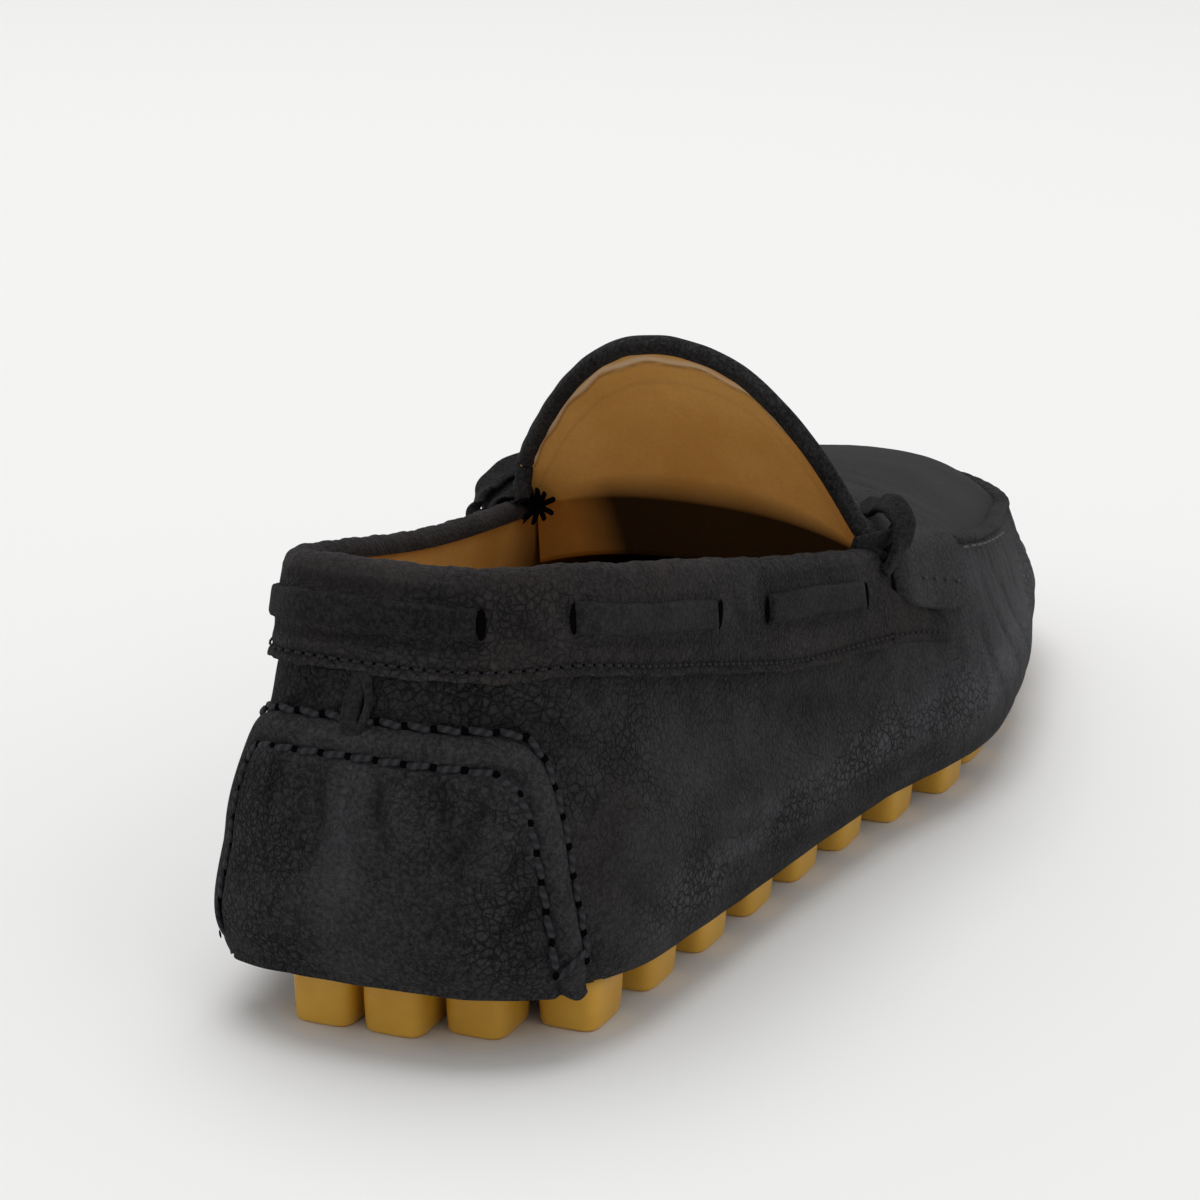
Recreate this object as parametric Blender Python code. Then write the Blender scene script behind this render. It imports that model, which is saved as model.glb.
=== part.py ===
# Driving moccasin for the right foot. Toe along +Y, outer side along +X, pegs on the floor at Z = 0.
# The upper is one function of a station round the shoe and a share up its side, and every overlay reads it.

import bmesh
import bpy
import numpy as np

# Driving sizes, in metres
LENGTH = 0.286
BALL_WIDTH = 0.0975
HEEL_WIDTH = 0.070
BACK_HEIGHT = 0.0765
SIDE_HEIGHT = 0.0592
INSTEP_HEIGHT = 0.0600
TOE_HEIGHT = 0.0320
WALL = 0.0015
GAP = 0.0003

PEG_HEIGHT = 0.0075
PEG_WIDTH = 0.0098
PEG_LENGTH = 0.0122
PEG_CORNER = 0.0024
PEG_PITCH = 0.0200
PEG_SPACING = 0.0132
PEG_MARGIN = 0.0006
PEG_END_MARGIN = 0.0055
HEEL_BOW = 0.0048
HEEL_SKEW = 0.0072
TOE_BOW = 0.0100
SOLE_THICKNESS = 0.0026
INSOLE_THICKNESS = 0.0018

BAND_HEIGHT = 0.0190
BAND_THICKNESS = 0.0009
BAND_ROLL = 0.0040
LACE_WIDTH = 0.0052
LACE_THICKNESS = 0.0012
LACE_DROP = 0.0080
PATCH_DROP = 0.0242
PATCH_THICKNESS = 0.0021
TAB_WIDTH = 0.0050
TAB_THICKNESS = 0.0012
STRAP_THICKNESS = 0.0016
STRAP_DROP = 0.0125
TONGUE_HEIGHT = 0.0940
TONGUE_REACH = 0.0200
TONGUE_THICKNESS = 0.0020
SEAM_WIDTH = 0.0040
SEAM_HEIGHT = 0.0018

# Shares of the way round one side of the shoe, 0 at the heel and 1 at the toe
THROAT = 0.462
BAND_END = 0.449
SEAM_START = 0.548
STRAP_BACK = 0.474
STRAP_FRONT = 0.540
LACE_RUNS = {"heel": (-0.100, 0.062), "outer_back": (0.118, 0.250), "outer_front": (0.303, 0.422),
             "inner_back": (-0.285, -0.150), "inner_front": (-0.435, -0.325)}

UPPER_COLUMNS = 84
UPPER_SHARES = (0.0, 0.035, 0.08, 0.15, 0.27, 0.42, 0.57, 0.72, 0.86, 1.0)

# Widest outline seen from above. Columns: place along the length, how far the local width follows the ball
# rather than the heel, then the outer and inner half widths as shares of half that local width
PLAN = (
    (0.00, 0.00, 0.84, 0.99),
    (0.12, 0.00, 1.05, 1.00),
    (0.25, 0.15, 1.073, 0.97),
    (0.42, 0.50, 1.075, 0.92),
    (0.56, 0.90, 1.112, 0.90),
    (0.64, 1.00, 1.055, 0.925),
    (0.72, 1.00, 0.975, 0.95),
    (0.82, 1.00, 0.83, 0.93),
    (0.91, 1.00, 0.77, 0.87),
    (1.00, 1.00, 0.64, 0.76),
)
HEEL_CAP_REACH = 0.18
HEEL_CAP_POWER = 3.3
TOE_CAP_REACH = 0.22
TOE_CAP_POWER = 2.15

# Section up the side. Columns: place along the length, peg length and toe spring as shares of the peg height,
# then under-turn, belly height, shoulder set-back, shoulder height, top set-back and top edge height.
# Set-backs are shares of the ball width, belly and shoulder heights shares of the way up to the top edge
SECTION = (
    (0.00, 1.50, 0.00, 0.046, 0.33, 0.066, 0.68, 0.100, 1.000 * BACK_HEIGHT),
    (0.06, 1.22, 0.00, 0.054, 0.32, 0.064, 0.67, 0.098, 0.990 * BACK_HEIGHT),
    (0.12, 1.08, 0.00, 0.063, 0.29, 0.060, 0.65, 0.090, 0.957 * BACK_HEIGHT),
    (0.28, 1.00, 0.00, 0.066, 0.25, 0.043, 0.61, 0.067, 1.085 * SIDE_HEIGHT),
    (0.40, 1.00, 0.00, 0.071, 0.22, 0.039, 0.61, 0.072, 1.000 * SIDE_HEIGHT),
    (0.47, 1.00, 0.00, 0.071, 0.21, 0.040, 0.60, 0.085, 0.935 * INSTEP_HEIGHT),
    (0.56, 1.00, 0.00, 0.071, 0.22, 0.040, 0.60, 0.095, 0.820 * INSTEP_HEIGHT),
    (0.70, 1.00, 0.00, 0.071, 0.26, 0.040, 0.64, 0.087, 1.290 * TOE_HEIGHT),
    (0.80, 1.00, 0.10, 0.071, 0.30, 0.038, 0.67, 0.077, 1.160 * TOE_HEIGHT),
    (0.90, 1.00, 0.45, 0.071, 0.33, 0.036, 0.72, 0.063, 1.050 * TOE_HEIGHT),
    (1.00, 1.00, 1.05, 0.076, 0.36, 0.034, 0.75, 0.055, 1.000 * TOE_HEIGHT),
)
PEG, SPRING, UNDER, BELLY, SHOULDER_IN, SHOULDER, TOP_IN, TOP = range(1, 9)

# Inner side. Columns: place along the length, the arch's lift as a share of the peg height, its added under-turn
# as above, and how far the top edge stands below the outer side's, as a share of the side height
INNER = (
    (0.00, 0.00, 0.000, 0.000),
    (0.03, 0.00, 0.000, 0.022),
    (0.12, 0.00, 0.000, 0.042),
    (0.22, 0.00, 0.000, 0.046),
    (0.32, 0.30, 0.020, 0.040),
    (0.42, 0.48, 0.040, 0.024),
    (0.52, 0.28, 0.026, 0.000),
    (0.63, 0.00, 0.000, 0.000),
    (1.00, 0.00, 0.000, 0.000),
)

# Height of the apron on the middle line. Columns: place along the length, height
CROWN = (
    (0.44, 1.010 * INSTEP_HEIGHT),
    (0.52, 0.980 * INSTEP_HEIGHT),
    (0.60, 0.930 * INSTEP_HEIGHT),
    (0.70, 1.640 * TOE_HEIGHT),
    (0.80, 1.490 * TOE_HEIGHT),
    (0.90, 1.300 * TOE_HEIGHT),
    (1.00, 1.080 * TOE_HEIGHT),
)
APRON_POWER = 2.4
APRON_FULL = 0.30 * BALL_WIDTH

# Collar band. Columns: share of the way round one side, depth as a share of the band height,
# drop of the lace's middle as a share of the lace drop
COLLAR = (
    (0.00, 0.860, 0.88),
    (0.11, 0.850, 0.90),
    (0.19, 0.920, 1.00),
    (0.28, 0.985, 1.02),
    (0.36, 1.060, 1.06),
    (0.45, 1.050, 1.27),
    (1.00, 1.050, 1.27),
)

# Heel patch. Columns: share of the way up its side, half width as a share of one side's way round
PATCH = (
    (0.00, 0.1150),
    (0.08, 0.1125),
    (0.40, 0.1050),
    (0.80, 0.1000),
    (0.90, 0.0960),
    (0.96, 0.0900),
    (1.00, 0.0800),
)

# Colours of the materials: base colour, roughness
NUBUCK = ("black_nubuck", (0.030, 0.030, 0.033), 0.85)
COLLAR_NUBUCK = ("collar_nubuck", (0.036, 0.033, 0.033), 0.85)
LINING = ("tan_lining", (0.55, 0.33, 0.13), 0.6)
GUM = ("gum_rubber", (0.62, 0.36, 0.09), 0.5)


def smooth(rows, column, along):
    """One column of a table, read between its rows by a cubic that doesn't overshoot them."""
    table = np.array(rows, float)
    places, values = table[:, 0], table[:, column]
    step = np.diff(places)
    rise = np.diff(values) / step
    slope = np.zeros_like(values)
    turning = rise[:-1] * rise[1:] <= 0
    safe = np.where(turning, 1, rise[:-1]), np.where(turning, 1, rise[1:])
    weight = 2 * step[1:] + step[:-1], step[1:] + 2 * step[:-1]
    slope[1:-1] = np.where(turning, 0, sum(weight) / (weight[0] / safe[0] + weight[1] / safe[1]))
    slope[0] = rise[0]
    slope[-1] = rise[-1]
    along = np.clip(np.asarray(along, float), places[0], places[-1])
    row = np.clip(np.searchsorted(places, along) - 1, 0, len(places) - 2)
    t = (along - places[row]) / step[row]
    return hermite(t, step[row], values[row], values[row + 1], slope[row], slope[row + 1])


def hermite(t, step, start, end, start_slope, end_slope):
    return ((1 + 2 * t) * (1 - t) ** 2 * start + t * (1 - t) ** 2 * step * start_slope
            + t * t * (3 - 2 * t) * end + t * t * (t - 1) * step * end_slope)


def rounded_end(share, reach, power):
    """Grows from 0 to 1 over reach as a superellipse does from its end."""
    return (1 - (1 - np.clip(share / reach, 0, 1)) ** power) ** (1 / power)


def outline_x(along, side):
    """X of the widest outline, on the outer side +1 or the inner side -1."""
    follow = smooth(PLAN, 1, along)
    half = (HEEL_WIDTH * (1 - follow) + BALL_WIDTH * follow) / 2
    outer = half * smooth(PLAN, 2, along)
    inner = half * smooth(PLAN, 3, along)
    ends = rounded_end(along, HEEL_CAP_REACH, HEEL_CAP_POWER)
    ends = ends * rounded_end(1 - along, TOE_CAP_REACH, TOE_CAP_POWER)
    return (outer - inner) / 2 + side * (outer + inner) / 2 * ends


def even_outline(count):
    """Evenly spaced points and outward directions round the outline: heel, outer side, toe, inner side."""
    sides = []
    for side in (1, -1):
        along = (1 - np.cos(np.linspace(0, np.pi, 6 * count))) / 2
        line = np.stack([outline_x(along, side), (along - 0.5) * LENGTH], 1)
        run = np.concatenate([[0], np.cumsum(np.linalg.norm(np.diff(line, axis=0), axis=1))])
        even = np.linspace(0, run[-1], count + 1)
        sides.append(np.stack([np.interp(even, run, line[:, 0]), np.interp(even, run, line[:, 1])], 1))
    ring = np.concatenate([sides[0][:-1], sides[1][:0:-1]])
    tangent = np.roll(ring, -3, 0) - np.roll(ring, 3, 0)
    tangent /= np.linalg.norm(tangent, axis=1)[:, None]
    return ring, np.stack([tangent[:, 1], -tangent[:, 0]], 1)


OUTLINE_COUNT = 240
OUTLINE, OUTWARD = even_outline(OUTLINE_COUNT)


def outline_at(station):
    """Point and outward direction at a station: 0 heel, 1 toe by the outer side, -1 toe by the inner side."""
    place = (np.asarray(station, float) % 2) * OUTLINE_COUNT
    low = np.floor(place).astype(int)
    part = (place - low)[..., None]
    low = low % len(OUTLINE)
    high = (low + 1) % len(OUTLINE)
    spot = OUTLINE[low] * (1 - part) + OUTLINE[high] * part
    out = OUTWARD[low] * (1 - part) + OUTWARD[high] * part
    return spot, out / np.linalg.norm(out, axis=-1, keepdims=True)


def place_along(station):
    return outline_at(station)[0][..., 1] / LENGTH + 0.5


def is_inner(station):
    return (np.asarray(station, float) % 2) > 1


def floor_lift(station):
    """Height of the peg ends over the floor: toe spring, and the arch on the inner side."""
    along = place_along(station)
    arch = np.where(is_inner(station), smooth(INNER, 1, along), 0)
    return PEG_HEIGHT * (smooth(SECTION, SPRING, along) + arch)


def sole_level(station):
    """Height of the upper's lower edge, which is also the underside of the rubber sheet."""
    return floor_lift(station) + PEG_HEIGHT * smooth(SECTION, PEG, place_along(station))


def under_turn(station):
    along = place_along(station)
    added = np.where(is_inner(station), smooth(INNER, 2, along), 0)
    return BALL_WIDTH * (smooth(SECTION, UNDER, along) + added)


def side_curve(station, share):
    """Outward distance and height on the upper's outside, for rows of shares at each station."""
    along = place_along(station)
    base = sole_level(station)
    lower = np.where(is_inner(station), smooth(INNER, 3, along), 0)
    top = smooth(SECTION, TOP, along) - SIDE_HEIGHT * lower
    rise = top - base
    turn = under_turn(station)
    outward = np.stack([-turn, -0.3 * turn, 0 * top, -BALL_WIDTH * smooth(SECTION, SHOULDER_IN, along),
                        -BALL_WIDTH * smooth(SECTION, TOP_IN, along)])
    height = np.stack([base, base + WALL, base + smooth(SECTION, BELLY, along) * rise,
                       base + smooth(SECTION, SHOULDER, along) * rise, top])
    span = np.hypot(np.diff(outward, axis=0), np.diff(height, axis=0))
    knots = np.concatenate([0 * span[:1], np.cumsum(span, 0)])
    knots = knots / knots[-1]
    step = np.diff(knots, axis=0)
    column = np.arange(share.shape[1])[None, :]
    row = np.clip((share[None] >= knots[1:-1, None]).sum(0), 0, len(step) - 1)
    t = (share - knots[row, column]) / step[row, column]
    found = []
    for values in (outward, height):
        rises = np.diff(values, axis=0) / step
        middle = (step[1:] * rises[:-1] + step[:-1] * rises[1:]) / (step[1:] + step[:-1])
        slope = np.concatenate([rises[:1], middle, rises[-1:]])
        found.append(hermite(t, step[row, column], values[row, column], values[row + 1, column],
                             slope[row, column], slope[row + 1, column]))
    return found


def bare_side(station, share):
    spot, out = outline_at(station)
    outward, height = side_curve(station, share)
    flat = spot + outward[..., None] * out
    return np.concatenate([flat, height[..., None]], 2)


def on_side(station, share, proud=0.0):
    """Points standing proud of the upper's outside, at stations across and shares in rows up the side."""
    station = np.asarray(station, float)
    share = np.asarray(share, float)
    if share.ndim == 1:
        share = np.repeat(share[:, None], len(station), 1)
    points = bare_side(station, share)
    turn, lift = 0.006, 0.012
    across = bare_side(station + turn, share) - bare_side(station - turn, share)
    high = np.clip(share + lift, 0, 1)
    low = np.clip(share - lift, 0, 1)
    up = bare_side(station, high) - bare_side(station, low)
    normal = np.cross(across, up)
    normal /= np.linalg.norm(normal, axis=2, keepdims=True)
    return points + np.asarray(proud) * normal


def share_at(station, drop):
    """Shares that lie at rows of drops below the top edge."""
    shares = np.linspace(0, 1, 101)
    heights = side_curve(station, np.repeat(shares[:, None], len(station), 1))[1]
    wanted = heights[-1] - np.asarray(drop)
    return np.stack([np.interp(wanted[:, i], heights[:, i], shares) for i in range(len(station))], 1)


def top_edge(station, inset=0.0, up=0.0):
    """Points at the upper's top edge, moved level by inset towards the inside and raised by up."""
    station = np.asarray(station, float)
    edge = bare_side(station, np.ones((1, len(station))))[0]
    out = outline_at(station)[1]
    edge[:, :2] -= inset * out
    edge[:, 2] += up
    return edge


def apron_surface(station, across, up=0.0):
    """The apron's outside: a low arch between the two sides' top edges, rows by station, +1 outer to -1 inner."""
    station = np.asarray(station, float)
    inset = 1.2 * WALL + GAP
    outer = top_edge(station, inset)
    inner = top_edge(-station, inset)
    middle = (outer + inner) / 2
    half = (outer - inner) / 2
    width = np.linalg.norm(half, axis=1)
    crown = smooth(CROWN, 1, middle[:, 1] / LENGTH + 0.5) - middle[:, 2]
    crown = crown * np.sin(np.pi / 2 * np.clip(width / APRON_FULL, 0, 1))
    across = np.asarray(across, float)
    points = middle[:, None] + half[:, None] * across[None, :, None]
    points[..., 2] += crown[:, None] * (1 - np.abs(across) ** APRON_POWER) + up
    return points


def grid_faces(rows, columns, start=0, around=False):
    faces = []
    for i in range(rows - 1):
        for j in range(columns if around else columns - 1):
            k = (j + 1) % columns
            corners = (i * columns + j, i * columns + k, (i + 1) * columns + k, (i + 1) * columns + j)
            faces.append(tuple(start + corner for corner in corners))
    return faces


def shell(outside, inside, around=False):
    """A closed solid between two grids of the same size, joined along their free edges."""
    rows, columns = outside.shape[:2]
    count = rows * columns
    points = np.concatenate([outside.reshape(-1, 3), inside.reshape(-1, 3)])
    faces = grid_faces(rows, columns, 0, around)
    faces += [face[::-1] for face in grid_faces(rows, columns, count, around)]
    turns = range(columns if around else columns - 1)
    for row in (0, rows - 1):
        edge = [(row * columns + j, row * columns + (j + 1) % columns) for j in turns]
        faces += [(b, a, a + count, b + count) for a, b in edge]
    if not around:
        for column in (0, columns - 1):
            edge = [(i * columns + column, (i + 1) * columns + column) for i in range(rows - 1)]
            faces += [(a, b, b + count, a + count) for a, b in edge]
    return points, faces


def swept(contours):
    """A closed contour carried along: rows are places on the way, columns go round the contour."""
    rows, columns = contours.shape[:2]
    faces = grid_faces(rows, columns, 0, True)
    faces += [tuple(range(columns)), tuple((rows - 1) * columns + j for j in range(columns))[::-1]]
    return contours.reshape(-1, 3), faces


def make_material(name, colour, roughness):
    material = bpy.data.materials.new(name)
    material.use_nodes = True
    shader = material.node_tree.nodes["Principled BSDF"]
    shader.inputs["Base Color"].default_value = (*colour, 1)
    shader.inputs["Roughness"].default_value = roughness
    shader.inputs["Metallic"].default_value = 0
    return material


def make_piece(name, solid, material, crease=40):
    """A closed mesh with its own material, faces outwards, shaded smooth below the crease angle in degrees."""
    points, faces = solid
    mesh = bpy.data.meshes.new(name)
    mesh.from_pydata([tuple(point) for point in points.tolist()], [], faces)
    work = bmesh.new()
    work.from_mesh(mesh)
    bmesh.ops.remove_doubles(work, verts=work.verts, dist=0.000002)
    bmesh.ops.recalc_face_normals(work, faces=work.faces)
    work.to_mesh(mesh)
    work.free()
    mesh.shade_smooth()
    mesh.set_sharp_from_angle(angle=np.radians(crease))
    piece = bpy.data.objects.new(name, mesh)
    bpy.context.scene.collection.objects.link(piece)
    mesh.materials.append(make_material(f"{material[0]}_{name}", *material[1:]))
    return piece


def make_upper():
    stations = np.arange(UPPER_COLUMNS) * 2 / UPPER_COLUMNS
    outside = on_side(stations, UPPER_SHARES)
    inside = on_side(stations, UPPER_SHARES, -WALL)
    return make_piece("upper", shell(outside, inside, around=True), NUBUCK)


def level_sheet(inset, bottom, thickness, columns=UPPER_COLUMNS):
    """A sheet inside the outline, set in by inset and with its underside at bottom, both functions of station."""
    stations = np.linspace(0, 1, columns // 2 + 1)
    rows = []
    for side in (1, -1):
        spot, out = outline_at(side * stations)
        flat = spot - inset(side * stations)[:, None] * out
        rows.append(np.concatenate([flat, bottom(side * stations)[:, None]], 1))
    outer, inner = rows
    grid = np.stack([outer, (outer + inner) / 2, inner], 1)
    grid[0] = (outer[0] + inner[0]) / 2
    grid[-1] = (outer[-1] + inner[-1]) / 2
    return shell(grid, grid + np.array([0, 0, thickness]))


def sole_edge(station):
    return under_turn(station) + 0.5 * WALL + 2 * GAP


def peg_places():
    """Centres of the pegs in bowed rows, spread evenly across the sole, with the station each one stands at."""
    half_length = LENGTH / 2
    reach = PEG_END_MARGIN + PEG_LENGTH / 2
    heel = -half_length + float(sole_edge(np.array([0.0]))[0]) + reach
    toe = half_length - float(sole_edge(np.array([1.0]))[0]) - reach
    rows = round((toe - heel) / PEG_PITCH)
    sides = {}
    for side in (1, -1):
        stations = side * np.linspace(0.0, 1.0, 400)
        spot, out = outline_at(stations)
        line = spot - (sole_edge(stations) + PEG_MARGIN + PEG_WIDTH / 2)[:, None] * out
        sides[side] = line, stations
    places = []
    for row in range(rows + 1):
        share = row / rows
        bow = HEEL_BOW * max(0, 1 - 2 * share) - TOE_BOW * max(0, 2 * share - 1) ** 1.3
        skew = HEEL_SKEW * max(0, 1 - 2 * share)
        middle = heel + share * (toe - heel)
        ends = {}
        for side, (line, stations) in sides.items():
            wanted = middle + bow + side * skew
            near = np.argmin(np.abs(line[:, 1] - wanted) + 10 * np.maximum(0, -side * line[:, 0]))
            ends[side] = line[near, 0], abs(stations[near])
        width = ends[1][0] - ends[-1][0]
        count = max(2, round(width / PEG_SPACING) + 1)
        for k in range(count):
            across = 2 * k / (count - 1) - 1
            x = ends[-1][0] + (across + 1) / 2 * width
            y = middle + bow * across * across + skew * across
            places.append((x, y, ends[1][1], ends[-1][1], across))
    return places


def make_outsole():
    """A thin rubber sheet and the pegs under it, joined into one solid."""
    sheet = make_piece("outsole", level_sheet(sole_edge, sole_level, SOLE_THICKNESS), GUM, 30)
    points, faces = [], []
    cut = PEG_CORNER
    for x, y, outer_station, inner_station, across in peg_places():
        rings = []
        for level in ("sheet", "end"):
            half_x, half_y = PEG_WIDTH / 2, PEG_LENGTH / 2
            corners = [(half_x, half_y - cut), (half_x - cut, half_y), (cut - half_x, half_y), (-half_x, half_y - cut),
                       (-half_x, cut - half_y), (cut - half_x, -half_y), (half_x - cut, -half_y), (half_x, cut - half_y)]
            for dx, dy in corners:
                blend = (across + 1) / 2
                along = np.clip((y + dy) / LENGTH + 0.5, 0, 1)
                spring = PEG_HEIGHT * float(smooth(SECTION, SPRING, along))
                spring += (1 - blend) * PEG_HEIGHT * float(smooth(INNER, 1, along))
                root = spring + PEG_HEIGHT * float(smooth(SECTION, PEG, along)) + SOLE_THICKNESS / 2
                height = {"sheet": root, "end": spring}[level]
                rings.append((x + dx, y + dy, height))
        first = len(points)
        points += rings
        faces += [tuple(first + i for i in range(8)), tuple(first + 8 + i for i in range(8))[::-1]]
        for i in range(8):
            j = (i + 1) % 8
            faces.append((first + j, first + i, first + 8 + i, first + 8 + j))
    pegs = make_piece("pegs", (np.array(points), faces), GUM, 30)
    pegs.hide_render = True
    pegs.display_type = "WIRE"
    joined = sheet.modifiers.new("pegs", "BOOLEAN")
    joined.operation = "UNION"
    joined.solver = "EXACT"
    joined.object = pegs
    return sheet


def make_insole():
    def inset(station):
        return 0.6 * under_turn(station) + WALL + GAP

    def bottom(station):
        return sole_level(station) + SOLE_THICKNESS + 2 * GAP

    return make_piece("insole", level_sheet(inset, bottom, INSOLE_THICKNESS), LINING, 30)


def make_apron():
    stations = np.concatenate([np.linspace(THROAT, 0.93, 15), [0.96, 0.982, 1.0]])
    across = np.sin(np.linspace(-np.pi / 2, np.pi / 2, 13))
    outside = apron_surface(stations, across)
    inside = outside - np.array([0, 0, 1.2 * WALL])
    return make_piece("apron", shell(outside, inside), NUBUCK)


def make_vamp_seam():
    """The raised hand-sewn ridge that joins apron and vamp, a low bead over both edges."""
    stations = np.concatenate([np.linspace(SEAM_START, 0.98, 30), np.linspace(1.0, 1.02, 2),
                               np.linspace(2 - 0.98, 2 - SEAM_START, 30)[1:]])
    folded = np.where(stations > 1, 2 - stations, stations)
    side = np.where(stations > 1, -1, 1)
    width = np.linalg.norm(top_edge(folded) - top_edge(-folded), axis=1) / 2
    rim = top_edge(stations)
    middle = top_edge(stations, 1.2 * WALL, GAP)
    inner = []
    for station, turned, half in zip(folded, side, width):
        reach = max(0.0, 1 - SEAM_WIDTH / 2 / max(half, SEAM_WIDTH / 2))
        inner.append(apron_surface([station], [turned * reach])[0, 0])
    inner = np.array(inner)
    outer = on_side(stations, share_at(stations, np.array([[SEAM_WIDTH / 4]])), GAP)[0]
    up = np.array([0, 0, 1.0])
    out = np.concatenate([outline_at(stations)[1], 0 * width[:, None]], 1)
    contour = np.stack([
        outer + GAP * out,
        outer + 0.6 * SEAM_HEIGHT * out + 0.4 * SEAM_HEIGHT * up,
        rim + 0.3 * SEAM_HEIGHT * out + 0.9 * SEAM_HEIGHT * up,
        middle + 1.2 * SEAM_HEIGHT * up,
        inner + 0.9 * SEAM_HEIGHT * up,
        inner + 2 * GAP * up,
        middle + 1.5 * GAP * up,
        top_edge(stations, -2 * GAP, 1.5 * GAP),
    ], 1)
    return make_piece("vamp_seam", swept(contour), NUBUCK)


def make_collar_band():
    """The folded cuff: up the outside from its raw edge, over the top edge and down a little way inside."""
    stations = np.linspace(-BAND_END, BAND_END, 43)
    drops = np.array([1.0, 0.66, 0.33, 0.09])[:, None] * band_depth(stations)
    shares = share_at(stations, drops)
    near = on_side(stations, shares, GAP)
    far = on_side(stations, shares, GAP + BAND_THICKNESS)[::-1]
    inner = 1.15 * WALL + GAP
    outer = inner + BAND_THICKNESS
    over = [
        top_edge(stations, -GAP, GAP),
        top_edge(stations, inner, GAP),
        top_edge(stations, inner, -BAND_ROLL),
        top_edge(stations, outer, -BAND_ROLL),
        top_edge(stations, outer, 0.2 * BAND_THICKNESS),
        top_edge(stations, 0.75 * inner, GAP + BAND_THICKNESS),
        top_edge(stations, 0.0, GAP + 0.9 * BAND_THICKNESS),
        top_edge(stations, -GAP - 0.8 * BAND_THICKNESS, 0.0),
    ]
    contour = np.stack([*near, *over, *far], 1)
    return make_piece("collar_band", swept(contour), COLLAR_NUBUCK)


def band_depth(station):
    return BAND_HEIGHT * smooth(COLLAR, 1, np.abs(station))


def slab_on_side(stations, drops, proud, thickness):
    shares = share_at(stations, drops)
    return shell(on_side(stations, shares, proud + thickness), on_side(stations, shares, proud))


def make_heel_patch():
    """The counter patch: a trapezoid with round upper corners, standing on the sole's edge."""
    columns = np.linspace(-1, 1, 21)
    rows = np.array([0.0, 0.08, 0.2, 0.35, 0.5, 0.65, 0.8, 0.9, 0.96, 1.0])
    outside, inside = [], []
    foot = 0.06
    for reach, row in zip(smooth(PATCH, 1, rows), rows):
        stations = reach * columns
        head = share_at(stations, np.array([[PATCH_DROP]]))[0]
        share = (foot + (head - foot) * row)[None, :]
        inside.append(on_side(stations, share, GAP)[0])
        outside.append(on_side(stations, share, GAP + PATCH_THICKNESS)[0])
    return make_piece("heel_patch", shell(np.array(outside), np.array(inside)), NUBUCK)


def station_width(metres):
    """A width across the back of the heel, as a share of one side's way round."""
    return metres / np.linalg.norm(OUTLINE[1] - OUTLINE[0]) / OUTLINE_COUNT


def make_back_tab():
    half = station_width(TAB_WIDTH) / 2
    stations = np.linspace(-half, half, 4)
    drops = np.linspace(PATCH_DROP - 2 * GAP, float(band_depth(0.0)) + 2 * GAP, 4)[:, None]
    return make_piece("back_tab", slab_on_side(stations, drops, GAP, TAB_THICKNESS), NUBUCK)


def make_lace_run(name, start, end):
    """One outside run of the flat lace, lying on the collar band between two slots."""
    stations = np.linspace(start, end, max(6, round(60 * (end - start))))
    middle = LACE_DROP * smooth(COLLAR, 2, np.abs(stations))
    drops = middle + LACE_WIDTH * np.array([0.5, 0.0, -0.5])[:, None]
    proud = BAND_THICKNESS + 2 * GAP
    return make_piece(f"lace_{name}", slab_on_side(stations, drops, proud, LACE_THICKNESS), COLLAR_NUBUCK)


def make_instep_strap():
    """The saddle strap: up the outer side, over the apron's back end and down the inner side."""
    rows = []
    down = np.array([1.0, 0.66, 0.33, 0.12])[:, None] * STRAP_DROP
    across = np.linspace(0.94, -0.94, 15)
    for station in np.linspace(STRAP_BACK, STRAP_FRONT, 6):
        sides = []
        for side in (1, -1):
            spot = np.array([side * station])
            over = [top_edge(spot, -GAP, 2 * GAP), top_edge(spot, 1.2 * WALL, 2 * GAP)]
            sides.append(np.concatenate([on_side(spot, share_at(spot, down), 1.5 * GAP)[:, 0], *over]))
        arch = apron_surface([station], across, GAP)[0]
        rows.append(np.concatenate([sides[0], arch, sides[1][::-1]]))
    inside = np.array(rows)
    over = np.gradient(inside, axis=1)
    ahead = np.gradient(inside, axis=0)
    normal = np.cross(over, ahead)
    normal /= np.linalg.norm(normal, axis=2, keepdims=True)
    if normal[0, inside.shape[1] // 2, 2] < 0:
        normal = -normal
    inside = inside + GAP * normal
    return make_piece("instep_strap", shell(inside + STRAP_THICKNESS * normal, inside), NUBUCK)


def tongue_surface(across, reach):
    """The tongue's upper face: from the throat's arch, reach 0, back and up to its arched free edge, reach 1."""
    throat = apron_surface([THROAT], across)[0]
    throat[:, 1] -= 3 * GAP
    middle = (throat[0] + throat[-1]) / 2
    half = (throat[-1] - throat[0]) / 2
    edge = np.empty_like(throat)
    rise = np.clip(1 - across ** 2, 0, 1) ** 0.62
    edge[:, 0] = middle[0] + (half[0] - GAP) * across
    edge[:, 1] = middle[1] - 0.18 * TONGUE_REACH - 0.5 * TONGUE_REACH * rise
    edge[:, 2] = middle[2] + (TONGUE_HEIGHT - middle[2]) * rise
    edge[:, 1] -= 0.32 * TONGUE_REACH * rise ** 2
    t = np.asarray(reach)[:, None, None]
    bulge = np.array([0, 0.12 * TONGUE_REACH, 0.0]) * rise[:, None]
    return throat * (1 - t) + edge * t + np.sin(np.pi * t) * bulge


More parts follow.
